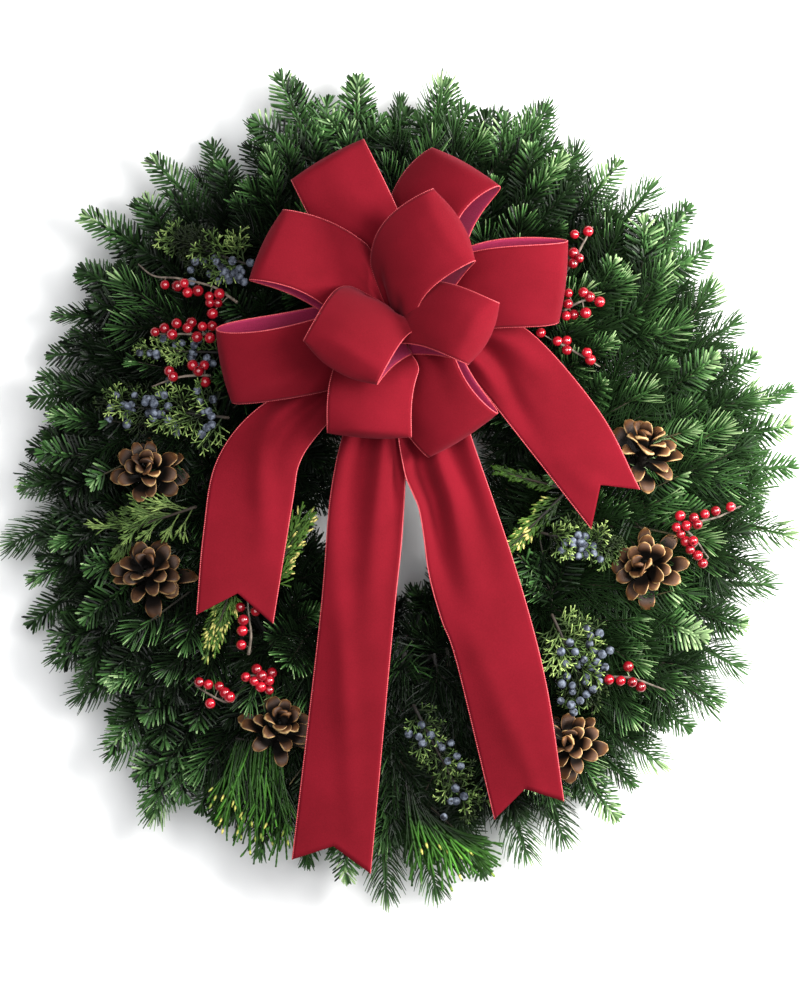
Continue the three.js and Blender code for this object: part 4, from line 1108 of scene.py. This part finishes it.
def scaly_shoot(skin, rng, start, way, length, tone, radius=SCALY_R, level=2):
    """A green cord-like shoot with smaller shoots by turns on its two sides. The outermost
    ones are brightest and the inner ones darkest, partly as fresh growth, partly as painted shade."""
    side = unit(np.cross(way, UP))
    bend = side * rng.uniform(-0.15, 0.15) + UP * rng.uniform(-0.1, 0.2)
    count = max(int(length / 1.6), 3)
    t = np.linspace(0, 1, count)[:, None]
    path = start + way * length * t + bend * length * t**2
    bumps = 1 + 0.24 * np.cos(np.arange(count) * pi)
    # painted shade among the shoots, partly fresh growth: the outer shoots lighter, the main ones
    # darker
    shade = min(tone + (0.35, 0.05, -0.2)[level], 1)
    add_tube(skin, path, radius * bumps * np.linspace(1, 0.6, count), sides=5, tone=max(shade, 0))
    if level == 0:
        return
    pairs = max(int(length / SCALY_APART), 2)
    for i in range(pairs):
        share = 0.12 + 0.8 * (i + rng.uniform(0, 0.5)) / pairs
        out = unit(way * 0.75 + side * hand_of(i) * 0.7 + UP * rng.uniform(-0.25, 0.4))
        begin = start + way * length * share + bend * length * share**2
        scaly_shoot(skin, rng, begin, out, length * (0.62 - 0.34 * share),
                    tone + rng.uniform(-0.1, 0.1), radius * 0.88, level - 1)


def scaly_spray(skin, rng, shape, width, tone, shoots=26):
    """The whole spray: its stem down to the bunch, its axis and its side shoots."""
    root, tip, axis, side, length = shape
    spray_stem(skin, root, [(root + tip) / 2 + UP * 2, tip], 24, 0.6)
    for i in range(shoots):
        share = (i + rng.uniform(0, 0.8)) / shoots
        start = root + axis * length * share + UP * 2 * sin(pi * share)
        way = unit(axis * rng.uniform(0.2, 1.0) + side * hand_of(i) * rng.uniform(0.1, 1.1)
                   + UP * rng.uniform(-0.35, 0.5))
        reach = width * rng.uniform(0.65, 1.15) * (1.1 - 0.3 * share)
        scaly_shoot(skin, rng, start, way, reach, tone + rng.uniform(-0.2, 0.2))
    scaly_shoot(skin, rng, tip - axis * 4, axis, width * 0.7, tone)


def long_shoot(skin, rng, start, way, length, radius, tone, forks, golden):
    """A long green shoot that forks forks times. Some of the ends are golden."""
    side = unit(np.cross(way, UP))
    count = max(int(length / 2.2), 4)
    t = np.linspace(0, 1, count)[:, None]
    sway = side * rng.uniform(-0.14, 0.14) - UP * rng.uniform(0, 0.16)
    path = start + way * length * t + sway * length * t**2
    path[:, 2] = np.maximum(path[:, 2], 4)
    bumps = 1 + 0.16 * np.cos(np.arange(count) * pi)
    add_tube(skin, path, radius * bumps, sides=5, tone=min(tone, 0.95))
    if rng.random() < golden:
        add_tube(skin, path[-3:] + way * 0.6, radius * np.array([1.02, 1.25, 0.6]), tone=1.0)
    for i in range(forks):
        share = 0.3 + 0.5 * (i + rng.uniform(0, 0.8)) / forks
        begin = path[int(share * (count - 1))]
        out = unit(way + side * hand_of(i + forks) * rng.uniform(0.2, 0.45)
                   + UP * rng.uniform(-0.1, 0.12))
        long_shoot(skin, rng, begin, out, length * (1 - share) * rng.uniform(0.7, 1.0),
                   radius * 0.92, tone + rng.uniform(-0.1, 0.15), max(forks - 2, 0), golden)


def berry_places(shape, width, berries, rng):
    """The centres of a juniper spray's berries: the given ones, or clusters near its axis."""
    root, tip, axis, side, length = shape
    if isinstance(berries, list):
        for x, y in berries:
            share = np.clip(np.dot([x, y, 0] - root, axis) / length, 0, 1)
            yield np.array([x, y, root[2] + (tip[2] - root[2]) * share + rng.uniform(4, 10)])
        return
    for k in range(berries):
        if k % 5 == 0:
            middle = (root + axis * length * rng.uniform(0.05, 0.95) + UP * rng.uniform(3, 8)
                      + side * width * rng.uniform(-0.55, 0.55))
        yield middle + rng.uniform(-1, 1, 3) * [11, 10, 3.5]


def bare_spray(skin, rng, shape, shoots=22):
    """Long shoots on both sides of a stem, without berries."""
    root, tip, axis, side, _ = shape
    spray_stem(skin, root, [tip], 20, 0.7)
    for k in range(shoots):
        way = unit(axis + side * rng.uniform(-1.0, 1.2) + UP * rng.uniform(-0.1, 0.25))
        long_shoot(skin, rng, root + (tip - root) * (k / shoots), way, rng.uniform(22, 38), 0.62,
                   rng.uniform(0.4, 0.75), 4, 0)


def make_junipers(clearings):
    for number, rng, (start, end, width, tone, places) in drawn(JUNIPERS, 500):
        node, skin, berries = f"juniper_spray_{number}", Skin(), Skin()
        shape = line(start, end)
        if places:
            scaly_spray(skin, rng, shape, width, tone)
        else:
            bare_spray(skin, rng, shape)
        hold_green(f"juniper_leaves_{number}", skin, [JUNIPER_LEAF, OLD_STEM], "juniper", node)
        clearings.add(start, end, width * 0.62, 9)
        if not places:
            continue
        for centre in berry_places(shape, width, places, rng):
            add_ball(berries, centre, BLUE_BERRY_R * rng.uniform(0.9, 1.15), rng.uniform(0, 1),
                     rng.uniform(-1, 1, 3) + UP, 7, 10, 0.05, 0.02, rng)
        make_piece(f"juniper_berries_{number}", berries, [BLUE_BERRY], "blue_berry", node)


def feather(skin, rng, start, end, width, tone, golden, shoots=24):
    """A flat spray of parallel shoots on both sides of a stem."""
    root, tip, axis, side, _ = line(start, end)
    spray_stem(skin, root, [tip], 20, 0.7)
    for k in range(shoots):
        t = (k + rng.uniform(0, 0.6)) / shoots
        way = unit(axis + side * hand_of(k) * rng.uniform(0.3, 0.7) * (1.05 - 0.6 * t)
                   + UP * rng.uniform(-0.05, 0.2))
        long_shoot(skin, rng, root + (tip - root) * t, way, width * rng.uniform(1.0, 1.5),
                   0.78, tone + rng.uniform(-0.13, 0.14), 3, golden)


def make_cedars(clearings):
    for number, rng, feathers in drawn(CEDARS, 600):
        skin = Skin()
        for each in feathers:
            feather(skin, rng, *each)
        hold_green(f"cedar_leaves_{number}", skin, [CEDAR_LEAF, OLD_STEM], "cedar",
                   f"cedar_spray_{number}")
        start, end, width = feathers[0][:3]
        clearings.add(start, end, width * 0.7, 8)


def make_pines(clearings):
    for number, rng, pine in drawn(PINES, 700):
        start, end, first, last, lengths, shoots, radius, tones, golden = pine
        root, tip, first, last = (np.array(v, float) for v in (start, end, first, last))
        skin = Skin()
        middle = (root + tip) / 2
        add_stem(skin, [stem_foot(middle), middle - UP * 14, middle], 12, (1.9, 1.4), 8)
        add_stem(skin, [root, middle - UP, tip], 12, 1.1)
        for k in range(shoots):
            t = (k + rng.uniform(-0.5, 1.5)) / shoots
            way = unit(first + (last - first) * t + [rng.uniform(-0.12, 0.12), 0,
                                                     rng.uniform(-0.06, 0.2)])
            begin = root + (tip - root) * t + way * rng.uniform(-6, 10)
            length = np.interp(t, [0, 1], lengths) * rng.uniform(0.7, 1.08)
            long_shoot(skin, rng, begin, way, length, radius, rng.uniform(*tones), 2, golden)
        hold_green(f"pine_shoots_{number}", skin, [PINE_NEEDLE, OLD_STEM], "pine",
                   f"pine_spray_{number}")
        for way, length, at in ((first, lengths[0], root), (first + last, lengths[0], middle),
                                (last, lengths[1], tip)):
            clearings.add(at, at + unit(way) * length * 0.8, 17, 3)


# --- floor, light and camera
FLOOR_HALF, FLOOR_Z = 4.0, -0.0004  # metres
LIGHTS = [  # name, place and size in metres, watts and colour
    ("key", (0.48, 0.18, 1.11), 0.4, 10, (1.0, 0.99, 0.97)),
    ("side", (1.0, 0.2, 0.55), 0.4, 28, (1.0, 0.99, 0.97)),
    ("top", (0.0, 0.2, 2.9), 3.4, 112, (0.98, 0.99, 1.0)),
]


def make_stage():
    mesh = bpy.data.meshes.new("floor")
    mesh.from_pydata([(x * FLOOR_HALF, y * FLOOR_HALF, FLOOR_Z) for x, y in
                      ((-1, -1), (1, -1), (1, 1), (-1, 1))], [], [(0, 1, 2, 3)])
    paint = Paint("pale_floor", 0.9, Specular_IOR_Level=0.1, Base_Color=(0.9, 0.9, 0.9))
    mesh.materials.append(paint.material)
    add_object("floor", mesh)
    for name, place, size, power, colour in LIGHTS:
        light = bpy.data.lights.new(name, "AREA")
        light.shape, light.size, light.energy, light.color = "DISK", size, power, colour
        lamp = add_object(name, light)
        lamp.location = place
        lamp.rotation_euler = (-Vector(place)).to_track_quat("-Z", "Y").to_euler()
    world = bpy.data.worlds.new("studio")
    world.use_nodes = True
    world.node_tree.nodes["Background"].inputs[0].default_value = (1, 1, 1, 1)
    world.node_tree.nodes["Background"].inputs[1].default_value = 0.06
    bpy.context.scene.world = world
    bpy.context.scene.view_settings.view_transform = "Standard"


def make_camera():
    data = bpy.data.cameras.new("camera")
    data.sensor_fit, data.sensor_width = "AUTO", 36
    data.lens = data.sensor_width * CAMERA_AWAY / VIEW_HEIGHT
    data.clip_end = 20
    camera = add_object("camera", data)
    camera.location = (0, VIEW_MIDDLE_Y * MM, (VIEW_PLANE + CAMERA_AWAY) * MM)
    bpy.context.scene.camera = camera


make_camera()
make_stage()
make_knot()
make_bow()
make_ring()
clearings = Clearings()
for make in (make_cones, make_sprigs, make_junipers, make_cedars, make_pines, make_fir):
    make(clearings)
make_greens()
